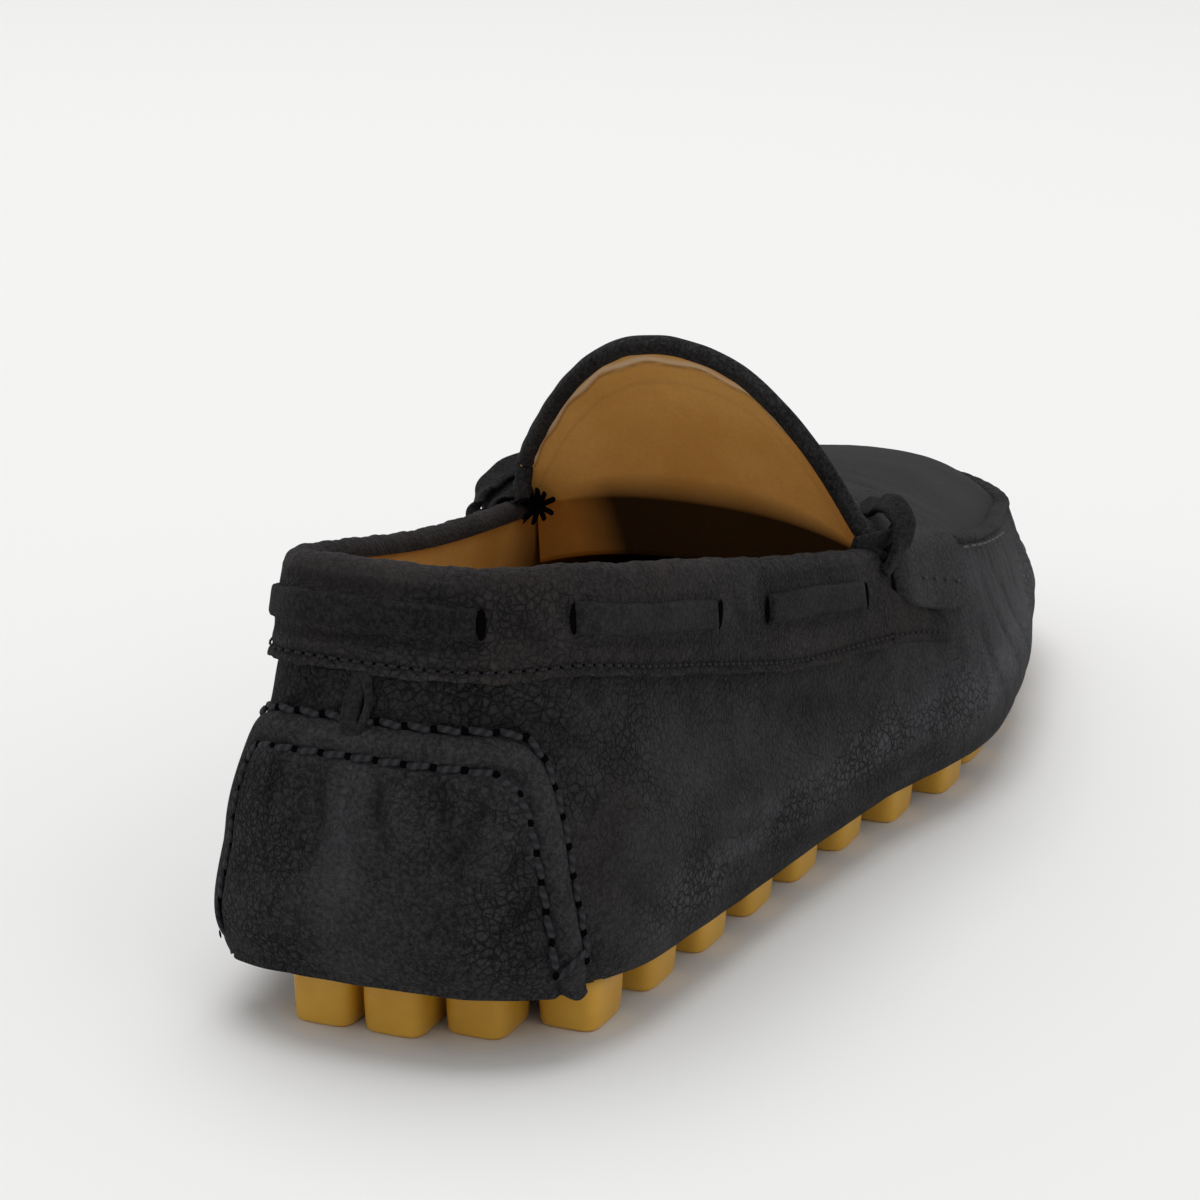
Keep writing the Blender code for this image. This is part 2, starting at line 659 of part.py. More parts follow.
def make_tongue():
    clear = (BAND_THICKNESS + 3 * GAP) / (BALL_WIDTH / 2)
    across = np.sin(np.linspace(-np.pi / 2, np.pi / 2, 25)) * (1 - clear)
    top = tongue_surface(across, np.linspace(0, 1, 8))
    normal = np.cross(np.gradient(top, axis=1), np.gradient(top, axis=0))
    normal /= np.linalg.norm(normal, axis=2, keepdims=True)
    if normal[3, len(across) // 2, 2] < 0:
        normal = -normal
    return make_piece("tongue", shell(top, top - TONGUE_THICKNESS * normal), NUBUCK)


def clear_scene():
    for item in list(bpy.data.objects):
        bpy.data.objects.remove(item, do_unlink=True)


def stand_over_origin():
    """Moves every piece alike, so that the middle of the whole shoe's box lies over the origin."""
    pieces = [item for item in bpy.data.objects if item.type == "MESH"]
    corners = np.array([tuple(corner) for item in pieces for corner in item.bound_box])
    middle = (corners.min(0) + corners.max(0)) / 2
    for item in pieces:
        item.location = (-middle[0], -middle[1], 0)


def main():
    clear_scene()
    make_upper()
    make_outsole()
    make_insole()
    make_apron()
    make_vamp_seam()
    make_collar_band()
    make_heel_patch()
    make_back_tab()
    for name, (start, end) in LACE_RUNS.items():
        make_lace_run(name, start, end)
    make_instep_strap()
    make_tongue()
    stand_over_origin()


main()
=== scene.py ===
import bmesh
import bpy
import numpy as np
from mathutils import Matrix, Vector


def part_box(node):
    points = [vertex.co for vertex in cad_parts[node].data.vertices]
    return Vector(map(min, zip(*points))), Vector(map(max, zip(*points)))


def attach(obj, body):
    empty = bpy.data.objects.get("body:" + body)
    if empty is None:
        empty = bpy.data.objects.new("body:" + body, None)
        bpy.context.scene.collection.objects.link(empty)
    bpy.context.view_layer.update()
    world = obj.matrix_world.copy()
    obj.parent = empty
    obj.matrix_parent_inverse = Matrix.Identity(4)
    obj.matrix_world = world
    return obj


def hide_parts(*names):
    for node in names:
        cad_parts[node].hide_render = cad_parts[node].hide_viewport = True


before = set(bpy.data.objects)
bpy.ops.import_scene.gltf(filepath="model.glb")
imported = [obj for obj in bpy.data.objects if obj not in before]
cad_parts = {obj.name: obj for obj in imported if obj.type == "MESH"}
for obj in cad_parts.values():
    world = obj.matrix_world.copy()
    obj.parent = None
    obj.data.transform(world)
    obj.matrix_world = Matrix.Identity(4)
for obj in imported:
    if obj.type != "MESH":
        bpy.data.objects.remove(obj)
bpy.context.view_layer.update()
print("frame loaded")

# The last's own sizes and tables, the same as in the solids
shoe = dict(length=0.286, ballWidth=0.0975, heelWidth=0.070, backHeight=0.0765, sideHeight=0.0592,
            instepHeight=0.0600, toeHeight=0.0320, pegHeight=0.0075, wall=0.0015)

# along, follow the ball, outer and inner half width
plan = (
    (0.00, 0.00, 0.84, 0.99), (0.12, 0.00, 1.05, 1.00), (0.25, 0.15, 1.073, 0.97), (0.42, 0.50, 1.075, 0.92),
    (0.56, 0.90, 1.112, 0.90), (0.64, 1.00, 1.055, 0.925), (0.72, 1.00, 0.975, 0.95), (0.82, 1.00, 0.83, 0.93),
    (0.91, 1.00, 0.77, 0.87), (1.00, 1.00, 0.64, 0.76))
endCaps = dict(heelReach=0.18, heelPower=3.3, toeReach=0.22, toePower=2.15)

# along, peg length, toe spring, under-turn, belly, shoulder set-back, shoulder height, top set-back, top height
section = (
    (0.00, 1.50, 0.00, 0.046, 0.33, 0.066, 0.68, 0.100, 1.000 * shoe["backHeight"]),
    (0.06, 1.22, 0.00, 0.054, 0.32, 0.064, 0.67, 0.098, 0.990 * shoe["backHeight"]),
    (0.12, 1.08, 0.00, 0.063, 0.29, 0.060, 0.65, 0.090, 0.957 * shoe["backHeight"]),
    (0.28, 1.00, 0.00, 0.066, 0.25, 0.043, 0.61, 0.067, 1.085 * shoe["sideHeight"]),
    (0.40, 1.00, 0.00, 0.071, 0.22, 0.039, 0.61, 0.072, 1.000 * shoe["sideHeight"]),
    (0.47, 1.00, 0.00, 0.071, 0.21, 0.040, 0.60, 0.085, 0.935 * shoe["instepHeight"]),
    (0.56, 1.00, 0.00, 0.071, 0.22, 0.040, 0.60, 0.095, 0.820 * shoe["instepHeight"]),
    (0.70, 1.00, 0.00, 0.071, 0.26, 0.040, 0.64, 0.087, 1.290 * shoe["toeHeight"]),
    (0.80, 1.00, 0.10, 0.071, 0.30, 0.038, 0.67, 0.077, 1.160 * shoe["toeHeight"]),
    (0.90, 1.00, 0.45, 0.071, 0.33, 0.036, 0.72, 0.063, 1.050 * shoe["toeHeight"]),
    (1.00, 1.00, 1.05, 0.076, 0.36, 0.034, 0.75, 0.055, 1.000 * shoe["toeHeight"]))

# along, arch lift, added under-turn, lower top edge: the inner side alone
innerSide = (
    (0.00, 0.00, 0.000, 0.000), (0.03, 0.00, 0.000, 0.022), (0.12, 0.00, 0.000, 0.042), (0.22, 0.00, 0.000, 0.046),
    (0.32, 0.30, 0.020, 0.040), (0.42, 0.48, 0.040, 0.024), (0.52, 0.28, 0.026, 0.000), (0.63, 0.00, 0.000, 0.000),
    (1.00, 0.00, 0.000, 0.000))

# along, how far the worn outer rim dips below the solids' top edge (m)
rimDip = ((0.00, 0.0), (0.22, 0.0), (0.30, 0.0009), (0.37, 0.0020), (0.44, 0.0030), (0.48, 0.0031), (0.53, 0.0016),
          (0.60, 0.0001), (1.00, 0.0))

# along, height of the apron's middle line
crown = (
    (0.44, 1.010 * shoe["instepHeight"]), (0.52, 0.980 * shoe["instepHeight"]), (0.60, 0.930 * shoe["instepHeight"]),
    (0.70, 1.640 * shoe["toeHeight"]), (0.80, 1.490 * shoe["toeHeight"]), (0.90, 1.300 * shoe["toeHeight"]),
    (1.00, 1.080 * shoe["toeHeight"]))


# A cubic between rows: hermite basis, slopes by the weighted harmonic mean of the neighbouring rises
def smooth(rows, column, at):
    table = np.array(rows, float)
    places, values = table[:, 0], table[:, column]
    step = np.diff(places)
    rise = np.diff(values) / step
    turning = rise[:-1] * rise[1:] <= 0
    before, after = np.where(turning, 1, rise[:-1]), np.where(turning, 1, rise[1:])
    one, two = 2 * step[1:] + step[:-1], step[1:] + 2 * step[:-1]
    slope = np.zeros_like(values)
    slope[1:-1] = np.where(turning, 0, (one + two) / (one / before + two / after))
    slope[0], slope[-1] = rise[0], rise[-1]
    at = np.clip(np.asarray(at, float), places[0], places[-1])
    row = np.clip(np.searchsorted(places, at) - 1, 0, len(places) - 2)
    t = (at - places[row]) / step[row]
    return hermite(t, step[row], values[row], values[row + 1], slope[row], slope[row + 1])


# Cubic with both end values and both end slopes
def hermite(t, step, start, end, startSlope, endSlope):
    return ((1 + 2 * t) * (1 - t) ** 2 * start + t * (1 - t) ** 2 * step * startSlope
            + t * t * (3 - 2 * t) * end + t * t * (t - 1) * step * endSlope)


# 1 - (1 - share/reach)^power, to the power 1/power: a superellipse from its end
def roundedEnd(share, reach, power):
    return (1 - (1 - np.clip(share / reach, 0, 1)) ** power) ** (1 / power)


# Half width from heel width to ball width, times its side's share, times both rounded ends
def outlineX(along, side):
    follow = smooth(plan, 1, along)
    half = (shoe["heelWidth"] * (1 - follow) + shoe["ballWidth"] * follow) / 2
    outer, inner = half * smooth(plan, 2, along), half * smooth(plan, 3, along)
    ends = roundedEnd(along, endCaps["heelReach"], endCaps["heelPower"])
    ends = ends * roundedEnd(1 - along, endCaps["toeReach"], endCaps["toePower"])
    return (outer - inner) / 2 + side * (outer + inner) / 2 * ends


# Points at even arc length up the outer side and back down the inner side, with each tangent turned outwards
def evenOutline(count):
    sides = []
    for side in (1, -1):
        along = (1 - np.cos(np.linspace(0, np.pi, 6 * count))) / 2
        line = np.stack([outlineX(along, side), (along - 0.5) * shoe["length"]], 1)
        run = np.concatenate([[0], np.cumsum(np.linalg.norm(np.diff(line, axis=0), axis=1))])
        even = np.linspace(0, run[-1], count + 1)
        sides.append(np.stack([np.interp(even, run, line[:, 0]), np.interp(even, run, line[:, 1])], 1))
    ring = np.concatenate([sides[0][:-1], sides[1][:0:-1]])
    tangent = np.roll(ring, -3, 0) - np.roll(ring, 3, 0)
    tangent /= np.linalg.norm(tangent, axis=1)[:, None]
    return ring, np.stack([tangent[:, 1], -tangent[:, 0]], 1)


outlineCount = 240
outline, outward = evenOutline(outlineCount)
sideRun = outlineCount * np.linalg.norm(outline[100] - outline[101])   # metres in one station


# Linear between ring points; station 0 is the heel, 1 the toe by the outer side, -1 the toe by the inner side
def outlineAt(station):
    place = (np.asarray(station, float) % 2) * outlineCount
    low = np.floor(place).astype(int)
    part = (place - low)[..., None]
    low = low % len(outline)
    high = (low + 1) % len(outline)
    out = outward[low] * (1 - part) + outward[high] * part
    return outline[low] * (1 - part) + outline[high] * part, out / np.linalg.norm(out, axis=-1, keepdims=True)


# y over the last's length, 0 at the heel and 1 at the toe
def placeAlong(station):
    return outlineAt(station)[0][..., 1] / shoe["length"] + 0.5


# Stations between 1 and 2 run back down the inner side
def isInner(station):
    return (np.asarray(station, float) % 2) > 1


# A column of the inner side's table, and nothing on the outer side
def innerOnly(station, column):
    return np.where(isInner(station), smooth(innerSide, column, placeAlong(station)), 0)


# Toe spring plus the arch on the inner side, times the peg height
def floorLift(station):
    return shoe["pegHeight"] * (smooth(section, 2, placeAlong(station)) + innerOnly(station, 1))


# Floor lift plus the peg height times its share there
def soleLevel(station):
    return floorLift(station) + shoe["pegHeight"] * smooth(section, 1, placeAlong(station))


# The rim's dip by its table, on the outer side alone
def dipAt(station):
    return np.where(isInner(station), 0, smooth(rimDip, 1, placeAlong(station)))


# Ball width times the section's share, with the inner side's own added
def underTurn(station):
    return shoe["ballWidth"] * (smooth(section, 3, placeAlong(station)) + innerOnly(station, 2))


# Cubic through five control points from the sole to the top edge, read at shares of its chord length
def sideCurve(station, share):
    along = placeAlong(station)
    base = soleLevel(station)
    top = smooth(section, 8, along) - shoe["sideHeight"] * innerOnly(station, 3) - dipAt(station)
    rise, turn = top - base, underTurn(station)
    out = np.stack([-turn, -0.3 * turn, 0 * top, -shoe["ballWidth"] * smooth(section, 5, along),
                    -shoe["ballWidth"] * smooth(section, 7, along)])
    high = np.stack([base, base + shoe["wall"], base + smooth(section, 4, along) * rise,
                     base + smooth(section, 6, along) * rise, top])
    span = np.hypot(np.diff(out, axis=0), np.diff(high, axis=0))
    knots = np.concatenate([0 * span[:1], np.cumsum(span, 0)])
    knots = knots / knots[-1]
    step = np.diff(knots, axis=0)
    column = np.arange(share.shape[1])[None, :]
    row = np.clip((share[None] >= knots[1:-1, None]).sum(0), 0, len(step) - 1)
    t = (share - knots[row, column]) / step[row, column]
    found = []
    for values in (out, high):
        rises = np.diff(values, axis=0) / step
        middle = (step[1:] * rises[:-1] + step[:-1] * rises[1:]) / (step[1:] + step[:-1])
        slope = np.concatenate([rises[:1], middle, rises[-1:]])
        found.append(hermite(t, step[row, column], values[row, column], values[row + 1, column],
                             slope[row, column], slope[row + 1, column]))
    return found


# Ring point plus the curve's way out, at the curve's height
def bareSide(station, share):
    spot, out = outlineAt(station)
    away, high = sideCurve(station, share)
    return np.concatenate([spot + away[..., None] * out, high[..., None]], 2)


# Surface point plus proud times the unit normal, the normal from differences across and up
def onSide(station, share, proud=0.0):
    station, share = np.asarray(station, float), np.asarray(share, float)
    if share.ndim == 1:
        share = np.repeat(share[:, None], len(station), 1)
    across = bareSide(station + 0.006, share) - bareSide(station - 0.006, share)
    up = bareSide(station, np.clip(share + 0.012, 0, 1)) - bareSide(station, np.clip(share - 0.012, 0, 1))
    normal = np.cross(across, up)
    normal /= np.linalg.norm(normal, axis=2, keepdims=True)
    proud = np.asarray(proud, float)
    return bareSide(station, share) + (proud[..., None] if proud.ndim else proud) * normal


# Height turned back into share by a linear search; the drop is measured from the undipped top edge
def shareAt(station, drop):
    fine = np.linspace(0, 1, 161)
    high = sideCurve(station, np.repeat(fine[:, None], len(station), 1))[1]
    level = high[-1] + dipAt(station)
    wanted = level - np.broadcast_to(drop, np.broadcast_shapes(np.shape(drop), (1, len(station))))
    low = np.clip((high[None] < wanted[:, None]).sum(1) - 1, 0, len(fine) - 2)
    column = np.arange(len(station))[None]
    part = (wanted - high[low, column]) / (high[low + 1, column] - high[low, column])
    return np.clip(fine[low] + part * (fine[1] - fine[0]), 0, 1)


# The wall's last point, moved in by the inset, and up
def topEdge(station, inset=0.0, up=0.0):
    station = np.asarray(station, float)
    edge = bareSide(station, np.ones((1, len(station))))[0]
    edge[:, :2] -= np.asarray(inset)[..., None] * outlineAt(station)[1]
    edge[:, 2] += up
    return edge


# Straight line between both top edges plus a crown of (1 - |across|^2.4), fading with the width at the toe
def apronAt(station, across, up=0.0, inset=0.0021):
    station, across = np.asarray(station, float), np.asarray(across, float)
    outer, inner = topEdge(station, inset), topEdge(-station, inset)
    middle, half = (outer + inner) / 2, (outer - inner) / 2
    rise = smooth(crown, 1, middle[:, 1] / shoe["length"] + 0.5) - middle[:, 2]
    rise = rise * np.sin(np.pi / 2 * np.clip(np.linalg.norm(half, axis=1) / (0.30 * shoe["ballWidth"]), 0, 1))
    points = middle[:, None] + half[:, None] * across[None, :, None]
    points[..., 2] += rise[:, None] * (1 - np.abs(across) ** 2.4) + up
    return points


# The frame is centred on the shoe's box, so the last's own place is found from the upper's solid
ownUpper = onSide(np.linspace(0, 2, 841)[:-1], np.linspace(0, 1, 60))
shift = np.array(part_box("upper")[0]) - ownUpper.reshape(-1, 3).min(0)
shift[2] = 0
print("last worked out, shift", shift.round(5).tolist())


# A socket that takes part in sums
class Value:
    def __init__(self, graph, socket):
        self.graph, self.socket = graph, socket

    # both values through one Math node, swapped for the reflected forms
    def math(self, other, kind, flip=False):
        pair = (other, self) if flip else (self, other)
        return self.graph.node("Math", dict(operation=kind), *pair)

    def __add__(self, other): return self.math(other, "ADD")
    def __radd__(self, other): return self.math(other, "ADD", True)
    def __sub__(self, other): return self.math(other, "SUBTRACT")
    def __rsub__(self, other): return self.math(other, "SUBTRACT", True)
    def __mul__(self, other): return self.math(other, "MULTIPLY")
    def __rmul__(self, other): return self.math(other, "MULTIPLY", True)


# One material with its nodes
class Graph:
    def __init__(self, name):
        self.material = bpy.data.materials.new(name)
        self.material.use_nodes = True
        self.nodes, self.links = self.material.node_tree.nodes, self.material.node_tree.links
        self.shader = self.nodes["Principled BSDF"]

    # makes a node, sets its settings, then sets or links its sockets in order, by number or by name
    def node(self, kind, settings=None, *values, out=0, places=None, **named):
        made = self.nodes.new("ShaderNode" + kind)
        for key, value in (settings or {}).items():
            if key == "stops":
                ramp = made.color_ramp
                for place, (at, colour) in enumerate(value):
                    stop = ramp.elements[place] if place < 2 else ramp.elements.new(at)
                    stop.position, stop.color = at, (*colour, 1)
            else:
                setattr(made, key, value)
        for key, value in [*enumerate(values), *(places or {}).items(), *named.items()]:
            self.feed(made.inputs[key if isinstance(key, int) else key.replace("_", " ")], value)
        return Value(self, made.outputs[out])

    # links a value, or sets a number or a colour
    def feed(self, socket, value):
        if isinstance(value, Value):
            self.links.new(value.socket, socket)
        else:
            socket.default_value = value

    # first * (1 - share) + second * share, for colours
    def blend(self, share, first, second):
        first, second = ((*colour, 1) if isinstance(colour, tuple) else colour for colour in (first, second))
        return self.node("Mix", dict(data_type="RGBA"), share, out=2, places={6: first, 7: second})

    # smooth step of a value between low and high
    def span(self, value, low, high, toLow=0.0, toHigh=1.0):
        return self.node("MapRange", dict(interpolation_type="SMOOTHSTEP"), value, low, high, toLow, toHigh)

    # fractal noise whose lumps are about 1 / scale wide
    def noise(self, at, scale, detail=3.0, rough=0.5):
        return self.node("TexNoise", None, Vector=at, Scale=scale, Detail=detail, Roughness=rough)

    # what varies is linked to the shader, and constants are set on its own sockets
    def finish(self, colour, roughness, bump=None, **fixed):
        self.feed(self.shader.inputs["Base Color"], colour)
        self.feed(self.shader.inputs["Roughness"], roughness)
        if bump is not None:
            self.feed(self.shader.inputs["Normal"], bump)
        for key, value in fixed.items():
            self.shader.inputs[key.replace("_", " ")].default_value = value
        return self.material


# Pebbled hide: rounded cells about `cell` metres wide on a bent place, with fine cells and wide folds over them,
# dark where the way to a cell's edge is near nothing; grain deepens it, tone greys it (lighter wear, and painted
# sheen and highlight in places) and shade blackens it as painted shade in creases and grooves
def nubuckMaterial(name, dark, light, cell=0.0016, depth=0.0005, nap=0.4, warm=0.0, crack=0.8, even=0.15):
    g = Graph(name)
    at = g.node("TexCoord", out=3)
    bend = g.node("TexNoise", None, Vector=at, Scale=260.0, Detail=2.0, out=1)
    bend = g.node("VectorMath", dict(operation="SCALE"), bend, Scale=0.0018)
    place = g.node("VectorMath", dict(operation="ADD"), at, bend)
    edges, small, wide = (g.node("TexVoronoi", dict(feature="DISTANCE_TO_EDGE"), Vector=place, Scale=many / cell,
                                 Randomness=1.0) for many in (1, 2.1, 0.42))
    tone, shade, grain = (g.node("Attribute", dict(attribute_name=key), out=2) for key in ("tone", "shade", "grain"))
    where = even + g.span(g.noise(at, 38.0, 3.0, 0.6), 0.42, 0.62) * (0.2 + 0.8 * grain) + 0.35 * grain
    cells, folds = g.span(edges, 0.0, 0.20), 1.0 - g.span(wide, 0.0, 0.03)
    fine = g.noise(at, 1300.0, 5.0, 0.8)
    height = cells * where + g.span(small, 0.0, 0.3) * 0.3 * where - folds * 0.5 * where + fine * nap
    bump = g.node("Bump", None, Strength=1.0, Distance=depth, Height=height)
    share = g.span(g.noise(at, 55.0, 6.0, 0.62) * 0.65 + g.noise(at, 230.0, 5.0, 0.7) * 0.35, 0.36, 0.66)
    share = share * 0.45 + g.span(fine, 0.42, 0.60) * 0.55
    colour = g.blend(share, dark, light)
    brown = tuple(c * k for c, k in zip(light, (1.12, 0.96, 0.86)))
    colour = g.blend(g.span(g.noise(at, 24.0, 4.0, 0.6), 0.45, 0.7) * warm, colour, brown)
    # tone greys the hide: lighter wear, and painted sheen and highlight where the pieces set it
    colour = g.blend(tone, colour, (0.105, 0.106, 0.115))
    lines = (1.0 - g.span(edges, 0.0, 0.12)) * where + folds * 0.6 * where
    colour = g.blend(g.span(lines, 0.0, 1.0) * crack, colour, (0.0015, 0.0015, 0.002))
    # painted shade: the shade attribute blackens creases, grooves and the shoe's dark inside
    colour = g.blend(shade, colour, (0.0015, 0.0015, 0.002))
    return g.finish(colour, 0.82 + 0.12 * share, bump, Specular_IOR_Level=0.05, Sheen_Weight=0.03,
                    Sheen_Roughness=0.5, Sheen_Tint=(0.9, 0.93, 1.0, 1.0))


# Lining hide: nearly plain, a soft cloud and small pores, `tone` lightens a raw edge and `shade` blackens it with
# painted shade deep inside the shoe and in two thin dark lines under the tongue's raw edge
def liningMaterial(name, deep, pale):
    g = Graph(name)
    at = g.node("TexCoord", out=3)
    cloud = g.span(g.noise(at, 40.0, 4.0, 0.6), 0.35, 0.68)
    fine = g.noise(at, 1500.0, 4.0, 0.65)
    colour = g.blend(cloud, deep, pale)
    colour = g.blend(g.span(fine, 0.3, 0.75) * 0.25, colour, tuple(c * 0.72 for c in deep))
    tone = g.node("Attribute", dict(attribute_name="tone"), out=2)
    colour = g.blend(tone, colour, (0.78, 0.62, 0.42))
    # painted shade: blends towards near black where the inside of the shoe is dark
    shade = g.node("Attribute", dict(attribute_name="shade"), out=2)
    colour = g.blend(shade, colour, (0.007, 0.004, 0.002))
    bump = g.node("Bump", None, Strength=0.5, Distance=0.0001, Height=fine)
    return g.finish(colour, 0.52 + 0.2 * fine, bump, Specular_IOR_Level=0.35)


# Gum rubber: honey colour in soft clouds, paler and yellower low down, painted shade of darker brown higher up under
# the upper's edge, faint mould skin
def gumMaterial():
    g = Graph("gumRubber")
    at = g.node("TexCoord", out=3)
    cloud = g.span(g.noise(at, 70.0, 4.0, 0.55), 0.3, 0.7)
    fine = g.noise(at, 1200.0, 3.0, 0.6)
    colour = g.blend(cloud, (0.58, 0.290, 0.020), (0.66, 0.360, 0.034))
    high = g.node("SeparateXYZ", None, at, out=2)
    colour = g.blend(g.span(high, 0.0, 0.007, 0.22, 0.0), colour, (0.68, 0.43, 0.09))
    # painted shade: darker brown from 6 mm up, where the upper's edge shades the pegs' roots and the sheet
    colour = g.blend(g.span(high, 0.006, 0.0125) * 0.35, colour, (0.36, 0.17, 0.02))
    bump = g.node("Bump", None, Strength=0.25, Distance=0.00012, Height=fine)
    return g.finish(colour, 0.36 + 0.12 * fine, bump, Specular_IOR_Level=0.45, Subsurface_Weight=0.12,
                    Subsurface_Radius=(0.004, 0.002, 0.0008), Subsurface_Scale=1.0)


# Waxed thread: ply lines run round it in the stitch's own map, u along the stitch
def threadMaterial(name, dark, light, turns=2.5):
    g = Graph(name)
    line = g.node("UVMap", dict(uv_map="run"))
    u = g.node("SeparateXYZ", None, line, out=0)
    v = g.node("SeparateXYZ", None, line, out=1)
    wave = g.node("Math", dict(operation="SINE"), (u * turns + v) * 6.2832)
    ply = g.span(wave, -1.0, 1.0)
    fuzz = g.noise(g.node("TexCoord", out=3), 3000.0, 3.0)
    colour = g.blend(ply * 0.5 + fuzz * 0.5, dark, light)
    bump = g.node("Bump", None, Strength=0.8, Distance=0.00018, Height=ply + fuzz * 0.4)
    return g.finish(colour, 0.66 + 0.15 * fuzz, bump, Specular_IOR_Level=0.10)


# One dull colour that wavers by a quarter
def plainMaterial(name, colour, roughness):
    g = Graph(name)
    fine = g.noise(g.node("TexCoord", out=3), 900.0)
    return g.finish(g.blend(fine, colour, tuple(c * 1.25 for c in colour)), roughness, Specular_IOR_Level=0.0)


finishes = dict(
    body=nubuckMaterial("bodyNubuck", (0.0060, 0.0060, 0.0065), (0.0400, 0.0395, 0.0405), depth=0.00038, warm=0.30,
                        crack=0.65, even=0.28),
    apron=nubuckMaterial("apronNubuck", (0.0160, 0.0160, 0.0170), (0.0330, 0.0330, 0.0345), depth=0.00018, crack=0.2,
                         even=0.05),
    patch=nubuckMaterial("patchNubuck", (0.0065, 0.0065, 0.0074), (0.0470, 0.0465, 0.0490), cell=0.0014,
                         depth=0.00035, warm=0.10, crack=0.65, even=0.14),
    collar=nubuckMaterial("collarNubuck", (0.0062, 0.0056, 0.0058), (0.0390, 0.0355, 0.0350), cell=0.0014,
                          depth=0.00032, warm=0.45, crack=0.55, even=0.25),
    lace=nubuckMaterial("laceNubuck", (0.0050, 0.0047, 0.0051), (0.0310, 0.0296, 0.0306), cell=0.0010, depth=0.0003,
                        nap=0.5, warm=0.1, crack=0.25),
    lining=liningMaterial("tanLining", (0.60, 0.315, 0.075), (0.70, 0.400, 0.115)),
    gum=gumMaterial(),
    thread=threadMaterial("waxedThread", (0.008, 0.008, 0.010), (0.0420, 0.0425, 0.0480)),
    greyThread=threadMaterial("greyThread", (0.060, 0.060, 0.064), (0.105, 0.105, 0.110)),
    # black for painted shade in needle holes, lace slots, the strap's slit and the back tab's gap; also the tongue's
    # star stitches
    hole=plainMaterial("paintedShadeAndBlackThread", (0.0020, 0.0020, 0.0022), 0.95),
)
print("materials made")


# Quads between neighbouring rows and columns, as one index array
def gridQuads(rows, columns, start=0, aroundRows=False, aroundColumns=False):
    i = np.arange(rows if aroundRows else rows - 1)[:, None]
    j = np.arange(columns if aroundColumns else columns - 1)[None, :]
    down, right = (i + 1) % rows, (j + 1) % columns
    quads = np.stack(np.broadcast_arrays(i * columns + j, i * columns + right, down * columns + right,
                                         down * columns + j), -1)
    return start + quads.reshape(-1, 4)


# Puts arrays into a mesh, merges poles, turns faces outwards and dresses the piece
def putPiece(name, points, quads, finish, *nodes, values=None, uv=None, merge=2e-6):
    mesh = bpy.data.meshes.new(name)
    points = points.reshape(-1, 3) + shift
    mesh.vertices.add(len(points))
    mesh.vertices.foreach_set("co", points.astype(np.float32).ravel())
    mesh.loops.add(quads.size)
    mesh.loops.foreach_set("vertex_index", quads.astype(np.int32).ravel())
    mesh.polygons.add(len(quads))
    mesh.polygons.foreach_set("loop_start", np.arange(len(quads), dtype=np.int32) * 4)
    mesh.update(calc_edges=True)
    for key, value in (values or {}).items():
        layer = mesh.attributes.new(key, "FLOAT", "POINT")
        layer.data.foreach_set("value", np.asarray(value, np.float32).ravel())
    if uv is not None:
        layer = mesh.uv_layers.new(name="run")
        layer.data.foreach_set("uv", uv.reshape(-1, 2)[quads.ravel()].astype(np.float32).ravel())
    work = bmesh.new()
    work.from_mesh(mesh)
    bmesh.ops.remove_doubles(work, verts=work.verts, dist=merge)
    bmesh.ops.recalc_face_normals(work, faces=work.faces)
    work.to_mesh(mesh)
    work.free()
    mesh.shade_smooth()
    piece = bpy.data.objects.new(name, mesh)
    bpy.context.scene.collection.objects.link(piece)
    mesh.materials.append(finishes[finish])
    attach(piece, "root")
    if nodes:
        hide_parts(*nodes)
    return piece


# Two grids of one size joined along their free edges into a closed wall
def shellPiece(name, outside, inside, finish, *nodes, around=False, values=None):
    rows, columns = outside.shape[:2]
    count = rows * columns
    faces = [gridQuads(rows, columns, 0, False, around),
             gridQuads(rows, columns, count, False, around)[:, ::-1]]
    index = np.arange(count).reshape(rows, columns)
    for edge in ([index[0], index[-1]] if around else [index[0], index[-1], index[:, 0], index[:, -1]]):
        ring = np.append(edge, edge[0]) if around else edge
        faces.append(np.stack([ring[1:], ring[:-1], ring[:-1] + count, ring[1:] + count], -1))
    both = {key: np.concatenate([np.ravel(v), np.ravel(v)]) for key, v in (values or {}).items()}
    return putPiece(name, np.concatenate([outside.reshape(-1, 3), inside.reshape(-1, 3)]), np.concatenate(faces),
                    finish, *nodes, values=both)


# A closed contour carried along; the first and last contours shrink to their middles to close the ends
def tubePiece(name, contours, finish, *nodes, values=None):
    ends = [contours[:1].mean(1, keepdims=True).repeat(contours.shape[1], 1),
            contours[-1:].mean(1, keepdims=True).repeat(contours.shape[1], 1)]
    grid = np.concatenate([ends[0], contours, ends[1]])
    rows, columns = grid.shape[:2]
    padded = {key: np.concatenate([v[:1], v, v[-1:]]) for key, v in (values or {}).items()}
    return putPiece(name, grid, gridQuads(rows, columns, 0, False, True), finish, *nodes, values=padded)


# One closed-round grid's quads, repeated for each copy
def manyQuads(copies, rows, columns):
    starts = np.arange(copies) * rows * columns
    return (gridQuads(rows, columns, 0, False, True)[None] + starts[:, None, None]).reshape(-1, 4)


# Superellipse round, sign(cos) |cos|^power and sign(sin) |sin|^power, at even turns
def ringAt(count, powerX, powerY):
    turn = np.linspace(0, 2 * np.pi, count, endpoint=False)
    c, s = np.cos(turn), np.sin(turn)
    return np.sign(c) * np.abs(c) ** powerX, np.sign(s) * np.abs(s) ** powerY


# Vectors over their own length
def unit(vectors):
    return vectors / np.maximum(np.linalg.norm(vectors, axis=-1, keepdims=True), 1e-12)


